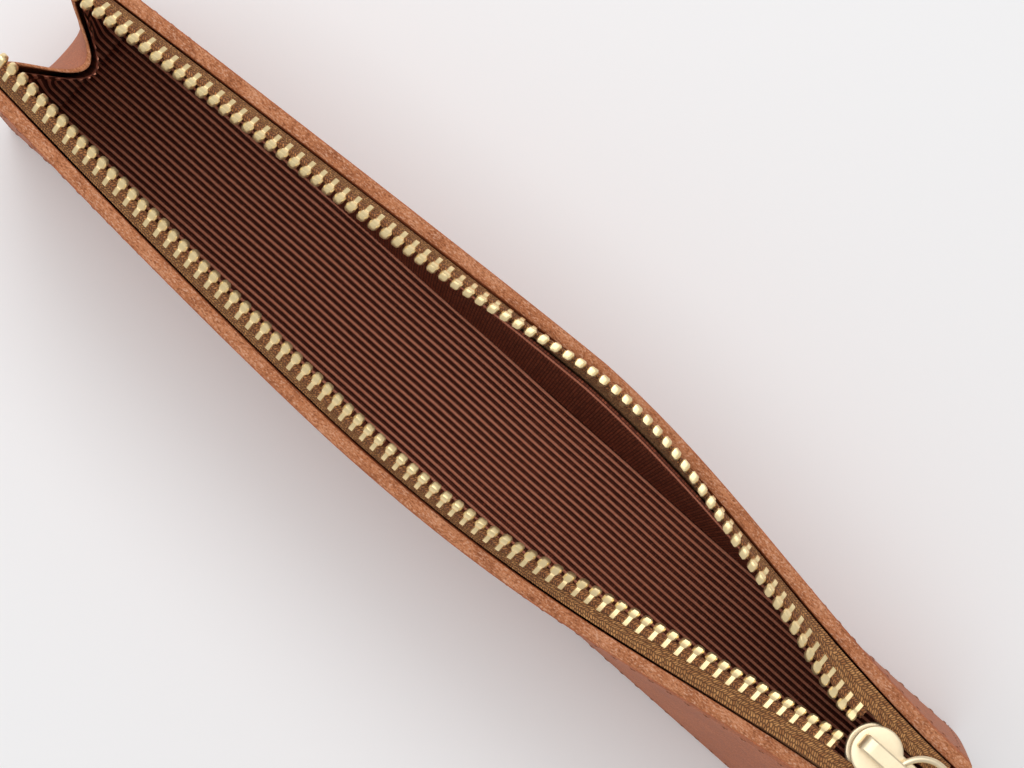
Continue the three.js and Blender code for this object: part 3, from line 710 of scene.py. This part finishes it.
# %% End surfaces
def end_profile(thickness_at, top, count=26):
    """Outer line up, cut edge over, inner line down: distances outwards from the start of the bend, and
    heights. The cut edge is crowned."""
    angle = np.radians(np.linspace(0, 90, 9))[:-1]
    height = np.linspace(BEND_RADIUS, top, count)

    def line(inset_at):
        bend = BEND_RADIUS - inset_at(0.0)
        u = np.concatenate([bend * np.sin(angle), BEND_RADIUS - inset_at(height)])
        return u, np.concatenate([BEND_RADIUS - bend * np.cos(angle), height])

    outer_u, outer_z = line(lambda z: 0.0 * z)
    inner_u, inner_z = line(thickness_at)
    outer_z[-1] -= 0.18
    inner_z[-1] -= 0.18
    edge_u = np.linspace(outer_u[-1], inner_u[-1], 5)[1:-1]
    edge_z = np.full(3, top) - np.array([0.03, 0.0, 0.03])
    u = np.concatenate([outer_u, edge_u, inner_u[::-1]])
    z = np.concatenate([outer_z, edge_z, inner_z[::-1]])
    cut = np.zeros(len(u), int)
    cut[len(outer_u) - 1:len(outer_u) + 3] = 1
    return u, z, cut


def end_points(sign, bow, top, share, u, z, offset):
    """Carries a profile across the case. share runs from -1 at the front to 1 at the back. The bow is a
    raised cosine across the case, growing with a power of the height."""
    F, U = np.meshgrid(share, u, indexing="ij")
    Z = np.broadcast_to(z, F.shape)
    x = sign * (END_BEND_START + U)
    inner = np.where(F < 0, panel_inner("front", x, Z), panel_inner("back", x, Z))
    span = inner - CLEARANCE - tape_step(Z)
    y = F * (span - offset * 0.4)
    rise = np.clip((Z - BEND_RADIUS) / (top - BEND_RADIUS), 0, 1) ** BOW_POWER
    fold = bow * rise * 0.5 * (1 + np.cos(np.pi * y / span))
    return place(x - sign * fold, y, Z)


def skived(z):
    """Leather that thins towards its top edge."""
    return BASE_THICKNESS + (END_EDGE_THICKNESS - BASE_THICKNESS) * smooth(BEND_RADIUS, OPEN_END_TOP, z)


ENDS = {
    "open": (-1.0, OPEN_END_BOW, OPEN_END_TOP, skived),
    "slider": (1.0, 0.0, SLIDER_END_TOP, lambda z: BASE_THICKNESS + 0.0 * z),
}


def end_leather(name, end, share):
    """The leather of an end between two shares of its width."""
    sign, bow, top, thickness_at = ENDS[end]
    u, z, cut = end_profile(thickness_at, top)
    return shell(name, end_points(sign, bow, top, share, u, z, 0.0), section_materials=cut)


# %% Make the ends and the base
gusset_front = end_leather("open_end_gusset_front", "open", np.linspace(-1, 0, 25))
gusset_back = end_leather("open_end_gusset_back", "open", np.linspace(0, 1, 25))
# What each half of the fold would follow: its middle stays put and its outer edges go with the sides,
# blended along a slanting line from no movement in the middle, or low down, to all of it at the outer
# top corner. The halves are left where they are made.
GUSSET_FOLLOWS = {
    "front": ("case", "mouth_front_open", (0.0, -0.0030, 0.0329), (0.0, -0.0105, 0.0384)),
    "back": ("case", "mouth_back_open", (0.0, 0.0030, 0.0327), (0.0, 0.0098, 0.0374)),
}
finish_piece(gusset_front, GUSSET_FOLLOWS["front"], "leather", [FACE, CUT], "open_end_gusset")
finish_piece(gusset_back, GUSSET_FOLLOWS["back"], "leather", [FACE, CUT], "open_end_gusset")
wall = end_leather("slider_end_wall_leather", "slider", np.linspace(-1, 1, 33))
finish_piece(wall, "case", "leather", [FACE, CUT], "slider_end_wall")


def slab(name, half_x, half_y, low, high, bevel):
    """A flat sheet with bevelled edges: four rings, the outer pair drawn in at top and bottom."""
    corner = np.array([[-1, -1], [1, -1], [1, 1], [-1, 1]])
    rings = [np.column_stack([corner * (half_x - inset, half_y - inset), np.full(4, z)])
             for z, inset in ((low, bevel), (low + bevel, 0.0), (high - bevel, 0.0), (high, bevel))]
    return shell(name, np.array(rings))


base = slab("base_leather", BASE_REACH, BASE_HALF_WIDTH - SIDE_THICKNESS - 0.35, 0.0, BASE_THICKNESS, 0.15)
finish_piece(base, "case", "leather", [FACE], "base_panel", sharp=20)
print("ends and base made")

# %% [markdown]
# ## Ribbed lining
# The lining is grosgrain: fine ridges one millimetre apart run along the floor and up both ends. The
# sides have fine upright threads and a rolled hem. The ridges are real relief, narrow on top with wide
# troughs, so they catch the light. The height of the rib is also kept as an attribute, which the
# material reads to paint a highlight on the ridges and on the hem's roll, and shade in the troughs.

# %% Rib relief
RIB_PITCH, RIB_HEIGHT = 1.0, 0.28
RIB_STEPS = 8  # samples across one rib


def rib_height(v):
    """A narrow ridge once a pitch: the cosine, lifted to 0..1 and raised to a power above one."""
    return (0.5 + 0.5 * np.cos(2 * np.pi * v / RIB_PITCH)) ** 1.8


def keep_ribs(obj, height):
    """Stores the rib height of each point where the material can read it."""
    attribute = obj.data.attributes.new("rib", "FLOAT", "POINT")
    attribute.data.foreach_set("value", np.asarray(height, np.float32).ravel())


def ribbed_sheet(name, face_points, back_points, rib, uv):
    """A thin closed sheet from two grids of points: the ribbed face and the plain back, joined round the
    four edges."""
    rows, columns = rib.shape
    rings = np.concatenate([face_points, back_points[:, ::-1]], axis=1)
    obj = shell(name, rings, uv=np.concatenate([uv, uv[:, ::-1]], axis=1))
    keep_ribs(obj, np.concatenate([rib, np.zeros_like(rib)], axis=1))
    return obj


# %% Floor lining
def floor_lining():
    """The floor: ribs run along the case, and the sheet rises a little at its two long edges."""
    half = BASE_HALF_WIDTH - SIDE_THICKNESS - 0.5
    y = np.linspace(-half, half, int(2 * half / RIB_PITCH * RIB_STEPS))
    x = np.linspace(-END_BEND_START, END_BEND_START, 90)
    X, Y = np.meshgrid(x, y, indexing="ij")
    drift = 0.12 * np.sin(X * 0.045) + 0.05 * np.sin(X * 0.21)  # ribs are never quite straight
    rib = rib_height(Y + drift)
    top = BASE_THICKNESS + CLEARANCE + 0.12
    face = np.stack([X, Y, top + RIB_HEIGHT * rib], axis=-1)
    back = np.stack([X, Y, np.full_like(X, BASE_THICKNESS + CLEARANCE - 0.1)], axis=-1)
    return ribbed_sheet("lining_floor", face, back, rib, np.stack([X, Y], axis=-1))


floor_piece = floor_lining()
finish_piece(floor_piece, "case", "lining", [FLOOR_LINING], "lining_base", sharp=None)


# %% Side linings
HEM_HEIGHT = HEIGHT - 4.0
LINING_REACH = 82.0


def side_lining(side, name, start, stop):
    """A side's lining: fine upright threads, with a plain rolled hem along its top whose roll takes a pink
    painted highlight.
    """
    bottom = BASE_THICKNESS + CLEARANCE + LINING_THICKNESS + 0.1
    z = np.concatenate([np.linspace(bottom, 34.2, 30), np.linspace(34.5, HEM_HEIGHT, 9)])
    x = np.linspace(start, stop, int((stop - start) / 0.22) + 1)
    X, Z = np.meshgrid(x, z, indexing="ij")
    tick = 0.5 + 0.5 * np.cos(2 * np.pi * X / 0.9)
    in_hem = smooth(34.2, 34.7, Z)
    roll = np.sin(np.pi * np.clip((Z - 34.3) / (HEM_HEIGHT - 34.3), 0, 1))
    proud = 0.10 * tick * (1 - in_hem) + 0.32 * roll * in_hem
    face = panel_inner(side, X, Z) - CLEARANCE - tape_step(Z)
    front = place(X, SIGN[side] * (face - 0.28 - proud), Z)
    behind = place(X, SIGN[side] * (face + 0.02), Z)
    # The rib value drives the painted colour: the hem's roll gets the ridges' pink painted highlight,
    # strongest at its crown, and the upright threads stay in the troughs' painted shade.
    rib = 0.30 * tick * (1 - in_hem) + 0.9 * roll * in_hem
    return ribbed_sheet(name, front, behind, rib, np.stack([Z, X], axis=-1))


for side in ("front", "back"):
    for part, start, stop, follows in lengths(side)[:3]:
        start, stop = max(start, -LINING_REACH), LINING_REACH if part == "easing" else stop
        piece = side_lining(side, f"lining_{side}_{part}", start, stop)
        finish_piece(piece, follows, "lining", [WALL_LINING], f"lining_{side}", sharp=None)


# %% End linings
def end_lining(name, end, low, high):
    """An end's lining: the floor's ribs go on up the end, so they run up it side by side."""
    sign, bow, top, _ = ENDS[end]
    offset = BASE_THICKNESS + CLEARANCE
    angle = np.radians(np.linspace(0, 90, 9))[:-1]
    height = np.linspace(BEND_RADIUS, top - 1.0, 34)
    share = np.linspace(low, high, int(abs(high - low) * 11 * RIB_STEPS))

    def grid(inset):
        bend = max(BEND_RADIUS - offset - inset, 0.4)
        u = np.concatenate([bend * np.sin(angle), np.full(len(height), BEND_RADIUS - offset - inset)])
        z = np.concatenate([BEND_RADIUS - bend * np.cos(angle), height])
        return end_points(sign, bow, top, share, u, z, offset).transpose(1, 0, 2)

    back, face = grid(0.0), grid(0.16)
    across = face[..., 1]
    rib = rib_height(across)
    face = face.copy()
    face[..., 0] -= sign * RIB_HEIGHT * 0.8 * rib
    length = np.broadcast_to(np.arange(face.shape[0])[:, None] * 1.0, rib.shape)
    return ribbed_sheet(name, face, back, rib, np.stack([length, across], axis=-1))


end_pieces = [
    ("lining_open_end_front", "open", -1, 0, GUSSET_FOLLOWS["front"], 0.0110, "open_end_gusset_front"),
    ("lining_open_end_back", "open", 0, 1, GUSSET_FOLLOWS["back"], 0.0110, "open_end_gusset_back"),
    ("lining_slider_end_face", "slider", -1, 1, "case", 0.0205, "slider_end_wall_leather"),
]
for name, end, low, high, follows, width, leather in end_pieces:
    piece = end_lining(name, end, low, high)
    finish_piece(piece, follows, "lining", [FLOOR_LINING], f"lining_{end}_end", sharp=None)
print("linings made")

# %% [markdown]
# ## Zip tape
# The tape is sewn between leather and lining, turns over the rim and carries the teeth on a thick cord.
# Its section is a bent strip, carried along the side on the same curves as the frame. The cord is a
# rounded bead that swells a little between the teeth.


# %% Tape surface
def tape_strip(side, name, start, stop):
    """The tape from its sewn edge, round the mitred corner at the rim and in to the cord."""
    x = np.linspace(start, stop, int((stop - start) / 0.8) + 2)
    half = TAPE_THICKNESS / 2
    width = strip_width(side, x) - TOOTH_LENGTH - CLEARANCE + 0.35
    tilt = tilt_at(side, x)
    slip = np.tan((np.pi / 2 - tilt) / 2) * half
    root_z = tape_root(x)
    low_z = root_z - TAPE_SEWN_DEPTH
    inset = CLEARANCE + half

    def sewn(across):
        return place(x, SIGN[side] * (panel_inner(side, x, low_z) - inset + across), low_z)

    upper = [strip_point(side, x, -slip + (width + slip) * f, half) for f in np.linspace(0, 1, 7)]
    lower = [strip_point(side, x, slip + (width - slip) * f, -half) for f in np.linspace(1, 0, 7)]
    rings = np.stack([sewn(half), *upper, *lower, sewn(-half)], axis=1)
    v = np.array([-TAPE_SEWN_DEPTH, *np.linspace(0, 2.0, 7), *np.linspace(2.0, 0, 7), -TAPE_SEWN_DEPTH])
    uv = np.stack(np.meshgrid(x, v, indexing="ij"), axis=-1)
    return shell(name, rings, uv=uv)


def cord_bead(side, name, start, stop):
    """The tape's corded edge: an oval bead with small bulges where it swells between two teeth."""
    x = np.linspace(start, stop, int((stop - start) / (TOOTH_PITCH / 6)) + 2)
    turn = np.linspace(0, 2 * np.pi, 13)[:-1]
    X, T = np.meshgrid(x, turn, indexing="ij")
    swell = 1 + 0.06 * np.cos(2 * np.pi * (X - TEETH_OPEN_X) / TOOTH_PITCH)
    centre = strip_width(side, X) - TOOTH_LENGTH + 0.8
    along = centre + 0.82 * swell * np.cos(T)
    across = 0.52 * swell * np.sin(T)
    uv = np.stack([X, 0.6 * T], axis=-1)
    return shell(name, strip_point(side, X, along, across), uv=uv)


# %% Make the tape
for side in ("front", "back"):
    runs = [
        ("open_half", TAPE_OPEN_X, SPLIT[side], f"mouth_{side}_open"),
        ("slider_half", SPLIT[side], float(SLIDER[0]), f"mouth_{side}_slider"),
        ("end", float(SLIDER[0]), TAPE_SLIDER_X, "case"),
    ]
    for part, start, stop, body in runs:
        strip = tape_strip(side, f"woven_tape_{side}_{part}", start, stop)
        finish_piece(strip, body, "zip_tape", [TAPE], f"tape_{side}_{part}", sharp=50)
        if part != "end":
            bead_stop = min(stop, TEETH_SLIDER_X)
            bead = cord_bead(side, f"tape_cord_{side}_{part}", max(start, TEETH_OPEN_X - 1.0), bead_stop)
            finish_piece(bead, body, "zip_tape", [CORD], sharp=None)
print("tape made")

# %% [markdown]
# ## Teeth
# A metal zip's tooth is a small stamped clamp: two legs grip the cord, and a rounded head with a bump on
# it stands past the edge, to nest under the next one. One tooth is drawn as a grid of a few dozen faces
# and copied along each side as one array, so the whole row is a single mesh. The row starts and stops
# where the frame's does, and every tooth sits in the strip's own tilt.

# %% One tooth
TOOTH_STATIONS = np.array([  # distance from the clamp's back end, half width along the zip, half thickness
    [0.00, 0.36, 0.52],
    [0.14, 0.52, 0.72],
    [1.10, 0.53, 0.76],
    [1.45, 0.49, 0.66],
    [1.62, 0.52, 0.58],
    [1.85, 0.76, 0.66],
    [2.55, 0.78, 0.74],
    [2.88, 0.60, 0.62],
    [3.00, 0.34, 0.42],
])


def cut_square(side, end):
    """Eight points round a square with its corners cut off. side and end are where the cuts begin."""
    return np.array([[1, side], [end, 1], [-end, 1], [-1, side],
                     [-1, -side], [-end, -1], [end, -1], [1, -side]])


def bar_points(stations):
    """A small bar as stations along its length. Each is a rounded rectangle of eight points, so the
    tooth's shank is narrow and its head swells like a bulb."""
    corner = cut_square(0.55, 0.62)
    distance, half_width, half_depth = stations.T
    x = half_width[:, None] * corner[None, :, 0]
    z = half_depth[:, None] * corner[None, :, 1]
    return np.stack([x, np.broadcast_to(distance[:, None], x.shape), z], axis=-1)


def teeth_row(side, name, start, stop):
    """Copies the tooth along the strip. Each copy takes the strip's own place and tilt."""
    count = int(np.floor((stop - start - 1.0) / TOOTH_PITCH))
    margin = (stop - start - count * TOOTH_PITCH) / 2
    middle = (start + margin + TOOTH_PITCH * np.arange(count + 1))[:, None, None]
    tooth = bar_points(TOOTH_STATIONS)[None]
    root = strip_width(side, middle) - TOOTH_LENGTH
    slack = 0.05 * np.sin(middle * 5.1)  # teeth are clamped a hair unevenly
    at = strip_point(side, middle + tooth[..., 0], root + tooth[..., 1] + slack, tooth[..., 2])
    return copies(name, at), count + 1


# %% Make the teeth
for side in ("front", "back"):
    gap = CLEARANCE / 2
    runs = [("open", TEETH_OPEN_X, SPLIT[side] - gap), ("slider", SPLIT[side] + gap, TEETH_SLIDER_X)]
    for part, start, stop in runs:
        row, number = teeth_row(side, f"zip_teeth_{side}_{part}", start, stop)
        finish_piece(row, f"mouth_{side}_{part}", "teeth_brass", [TEETH_BRASS], f"teeth_{side}_{part}_half",
                     sharp=35)
        print(row.name, number, "teeth")

# %% [markdown]
# ## Stops and closed chain
# A top stop is a plain clamp pressed round the cord at the open end of each row. Behind the slider the two
# rows are closed, so their teeth alternate and each reaches past the middle. The bottom stop is one wider
# clamp across both tapes. All are the tooth's rounded bar with other stations.

# %% Stops and chain
TOP_STOP_X = -86.0
STOP_STATIONS = np.array([[0.0, 0.42, 0.5], [0.15, 0.6, 0.74], [0.5, 0.68, 0.84],
                          [2.1, 0.68, 0.84], [2.45, 0.6, 0.74], [2.6, 0.42, 0.5]])
BOTTOM_STATIONS = np.array([[-2.4, 0.4, 0.6], [-2.2, 0.6, 0.85], [-1.8, 0.69, 0.98],
                            [1.8, 0.69, 0.98], [2.2, 0.6, 0.85], [2.4, 0.4, 0.6]])
CHAIN_TEETH, CHAIN_X, CHAIN_REACH = 4, 79.4, 2.6
BOTTOM_STOP_X = 83.97

for side in ("front", "back"):
    bar = bar_points(STOP_STATIONS)
    root = strip_width(side, TOP_STOP_X) - TOOTH_LENGTH + 0.2
    at = strip_point(side, TOP_STOP_X + bar[..., 0], root + bar[..., 1], bar[..., 2])
    clamp = shell(f"top_stop_clamp_{side}", at)
    finish_piece(clamp, f"mouth_{side}_open", "teeth_brass", [TEETH_BRASS], f"top_stop_{side}", sharp=60)

k = np.arange(CHAIN_TEETH)[:, None, None]
turned = np.where(k % 2 == 0, 1.0, -1.0)  # every other tooth comes from the other side
tooth = bar_points(TOOTH_STATIONS * [1.0, 0.9, 1.0])[None]
depth = np.broadcast_to(tooth[..., 2], (CHAIN_TEETH, *tooth.shape[1:3]))
chain_points = np.stack([CHAIN_X + TOOTH_PITCH / 2 * k + turned * tooth[..., 0],
                         SLIDER[1] + turned * (tooth[..., 1] - CHAIN_REACH), SLIDER[2] + depth], axis=-1)
chain = copies("closed_chain_teeth", chain_points)
finish_piece(chain, "case", "teeth_brass", [TEETH_BRASS], "closed_chain", sharp=35)
bottom_at = np.array([BOTTOM_STOP_X, SLIDER[1], SLIDER[2]])
bottom = shell("bottom_stop_clamp", bar_points(BOTTOM_STATIONS) + bottom_at)
finish_piece(bottom, "case", "teeth_brass", [TEETH_BRASS], "bottom_stop", sharp=60)
print("stops made, and", CHAIN_TEETH, "closed teeth")

# %% [markdown]
# ## Slider and ring
# The slider is a cast body: a rounded top plate with a narrow tail, a bottom plate like it, a post
# between them that parts the chain, and a bridge over the top that the pull ring passes through. Each
# is a closed surface of its own, the plates' edges are rolled over, and all are joined into one piece.


# %% Slider shapes
def rolled_plate(radius, tail_x, tail_half, low, high, roll, crown=0.0):
    """A plate from above: a circle in front and a straight tail, sampled as one outline. Rings draw the
    outline in by the cosine of a quarter turn at the top and bottom, and the middle may be crowned."""
    meet = math.asin(tail_half / radius)
    arc = np.linspace(meet, 2 * np.pi - meet, 44)
    circle = np.stack([radius * np.cos(arc), radius * np.sin(arc)], 1)
    cut = 0.25  # taken off the tail's two corners
    outline = np.concatenate([[[tail_x - cut, tail_half]], circle, [[tail_x - cut, -tail_half]],
                              [[tail_x, -tail_half + cut], [tail_x, tail_half - cut]]])
    centre = np.array([0.6, 0.0])
    turn = np.radians(np.linspace(0, 90, 5))
    rings = []
    for z_edge, z_sign, angles in ((low, -1, turn[::-1]), (high, 1, turn)):
        for a in angles:
            inset = roll * (1 - np.cos(a))
            z = z_edge - z_sign * roll * (1 - np.sin(a))
            shrink = 1 - inset / radius
            rings.append(np.column_stack([centre + (outline - centre) * shrink, np.full(len(outline), z)]))
    for share in (0.72, 0.4, 0.1):
        inner = centre + (outline - centre) * share
        rings.append(np.column_stack([inner, np.full(len(outline), high + crown * (1 - share**2))]))
    return np.array(rings)


def arch(half_width):
    """The bridge: a bar swept over an arch, thicker and rounded over its front."""
    t = np.linspace(0, 1, 27)
    knots = [0, 0.1, 0.2, 0.3, 0.85, 0.93, 1]
    x = np.interp(t, knots, [-2.6, -2.5, -2.15, -1.5, 4.5, 5.0, 5.2])
    z = np.interp(t, knots, [1.6, 3.1, 3.75, 4.05, 4.02, 3.4, 1.6])
    tangent = np.gradient(np.stack([x, z], axis=1), axis=0)
    tangent /= np.linalg.norm(tangent, axis=1, keepdims=True)
    normal = np.stack([-tangent[:, 1], tangent[:, 0]], axis=1)
    corner = cut_square(0.5, 0.8)
    half = 0.42
    px = x[:, None] + normal[:, 0:1] * corner[None, :, 1] * half
    pz = z[:, None] + normal[:, 1:2] * corner[None, :, 1] * half
    return np.stack([px, np.broadcast_to(half_width * corner[None, :, 0], px.shape), pz], axis=-1)


def post():
    """The wedge between the plates that parts the chain."""
    outline = np.array([[-3.3, 0], [-2.1, -0.9], [-0.5, 0], [-2.1, 0.9]])
    return np.array([np.column_stack([outline, np.full(4, z)]) for z in (-1.3, 1.3)])


# %% Make the slider
def join(name, pieces):
    """Joins several closed pieces into one mesh object."""
    bpy.ops.object.select_all(action="DESELECT")
    for piece in pieces:
        piece.select_set(True)
    bpy.context.view_layer.objects.active = pieces[0]
    bpy.ops.object.join()
    pieces[0].name = name
    return pieces[0]


shapes = [
    ("plate", rolled_plate(3.85, 6.0, 2.2, 1.1, 1.9, 0.3, crown=0.06)),
    ("foot", rolled_plate(4.2, 6.0, 2.2, -1.9, -1.1, 0.3)),
    ("post", post()),
    ("bridge", arch(1.2)),
]
slider = join("slider_casting", [shell(f"slider_{label}", rings + SLIDER) for label, rings in shapes])
finish_piece(slider, "slider", "slider_metal", [SLIDER_PLATE], "slider_body", sharp=38)


# %% Make the ring
def ring_points(radius, wire, droop):
    """A round ring of wire: a circle carried round a circle, hung by its front from the bridge and
    drooping a little behind."""
    U, V = np.meshgrid(np.linspace(0, 2 * np.pi, 97)[:-1], np.linspace(0, 2 * np.pi, 17)[:-1], indexing="ij")
    out = radius + wire * np.cos(V)
    x, y, z = radius + out * np.cos(U), out * np.sin(U), wire * np.sin(V)
    behind, above = x * np.cos(droop) + z * np.sin(droop), z * np.cos(droop) - x * np.sin(droop)
    return np.stack([behind, y, above], axis=-1)


ring_at = SLIDER + np.array([3.6, 0.0, 2.75])
points = ring_points(4.6, 0.5, math.radians(6.0)) + ring_at
rows, columns = points.shape[:2]
flat = points.reshape(-1, 3)
quads = grid_faces(rows + 1, columns, True) % (rows * columns)
if volume(flat - flat.mean(axis=0), quads) < 0:
    quads = quads[:, ::-1]
ring = make_object("pull_ring_wire", flat, quads.tolist())
finish_piece(ring, "pull_ring", "slider_metal", [SLIDER_PLATE], "pull_ring", sharp=None)
print("slider and ring made")

# %% [markdown]
# ## Stitching
# The seams are runs of separate stitches: short, slightly sunk threads with a gap between them. One
# stitch is a small tapered bead, copied along the seam as one array like the teeth. A rim seam is made
# in the same lengths as its panel, and only its last length is attached to the case. A panel's own seam
# is made in two halves: the one at the slider end is attached to the case, and the one at the open end,
# which climbs into leather that moves when the mouth closes, is left where it is made.

# %% Stitches
STITCH_PITCH, STITCH_LENGTH, STITCH_RADIUS = 3.1, 1.5, 0.15


def stitches(side, name, path_x, path_z):
    """Beads along a path over the outer face. Each is a row of rings that taper at both ends and dip
    into the leather there."""
    t = np.linspace(-1, 1, 7)
    turn = np.linspace(0, 2 * np.pi, 7)[:-1]
    step = np.concatenate([[0], np.cumsum(np.hypot(np.diff(path_x), np.diff(path_z)))])
    centres = np.arange(STITCH_PITCH / 2, step[-1] - STITCH_LENGTH / 2, STITCH_PITCH)
    S = centres[:, None, None] + (STITCH_LENGTH / 2) * t[None, :, None]
    radius = STITCH_RADIUS * np.sqrt(np.maximum(1 - (0.96 * t) ** 2, 0.02))[None, :, None]
    px, pz = np.interp(S, step, path_x), np.interp(S, step, path_z)
    ahead_x, ahead_z = np.interp(S + 0.05, step, path_x), np.interp(S + 0.05, step, path_z)
    run = np.hypot(ahead_x - px, ahead_z - pz) + 1e-9
    sideways, out = radius * np.cos(turn), radius * np.sin(turn)
    X, Z = px - (ahead_z - pz) / run * sideways, pz + (ahead_x - px) / run * sideways
    proud = out + 0.03 - 0.16 * (t**2)[None, :, None]
    return copies(name, place(X, SIGN[side] * (panel_outer(side, X, Z) + proud), Z)), len(centres)


# %% Make the seams
for side in ("front", "back"):
    for part, start, stop, follows in lengths(side):
        start, stop = max(start, -86.0), min(stop, 86.0)
        path = np.linspace(start, stop, 200)
        seam, number = stitches(side, f"rim_stitches_{side}_{part}", path, np.full(200, 37.0))
        finish_piece(seam, follows, "thread", [THREAD], f"rim_seam_{side}", sharp=None)
    end_x, low, top = HALF_LENGTH - 3.2, 3.4, HEIGHT - 6.0
    corner = np.linspace(0, np.pi / 2, 8)
    turn_x, turn_z = end_x - 2.5 * (1 - np.sin(corner)), low + 2.5 * (1 - np.cos(corner))
    route_x, route_z = np.concatenate([[0.0], turn_x, [end_x]]), np.concatenate([[low], turn_z, [top]])
    for half, direction, follows in (("open", -1, mouth(side, "open")), ("slider", 1, "case")):
        seam, number = stitches(side, f"panel_stitches_{side}_{half}", direction * route_x, route_z)
        finish_piece(seam, follows, "thread", [THREAD], f"panel_seam_{side}", sharp=None)
    print(side, "panel seam:", number, "stitches")

# %% [markdown]
# ## Table and light
# The table is a plain pale sheet. A large soft light overhead gives even light with soft shadows, and a
# smaller one beyond the top of the picture, a little to the left, gives the metal its highlights.

# %% Table
TABLE_REACH = 900
table_corners = TABLE_REACH * np.array([[-1, -1, 0], [1, -1, 0], [1, 1, 0], [-1, 1, 0]])
table = make_object("table", table_corners, [[0, 1, 2, 3]])
table_material, _, table_shader, _ = new_material("pale table")
shade(table_material.node_tree, table_shader, Base_Color=srgb(238, 238, 239), Roughness=0.9)
table.data.materials.append(table_material)


# %% Lights
def soft_light(name, stands, looks_at, size, power):
    """A square soft light that faces a point."""
    data = bpy.data.lights.new(name, "AREA")
    data.shape, data.size, data.energy = "SQUARE", size, power
    light = bpy.data.objects.new(name, data)
    bpy.context.scene.collection.objects.link(light)
    rotation = np.eye(4)
    rotation[:3, :3] = camera_axes(np.array(stands), np.array(looks_at), 0.0)
    rotation[:3, 3] = np.array(stands) * MM
    light.matrix_world = Matrix(rotation.tolist())


soft_light("overhead", (-220, 80, 760), (0, 0, 0), 1.0, 4.2)
soft_light("highlight", (-420, 260, 480), (0, 0, 20), 0.25, 0.5)
world = bpy.data.worlds.new("studio")
world.use_nodes = True
background = world.node_tree.nodes["Background"]
background.inputs["Color"].default_value = (1, 1, 1, 1)
background.inputs["Strength"].default_value = 0.54
bpy.context.scene.world = world
bpy.context.scene.view_settings.view_transform = "Standard"
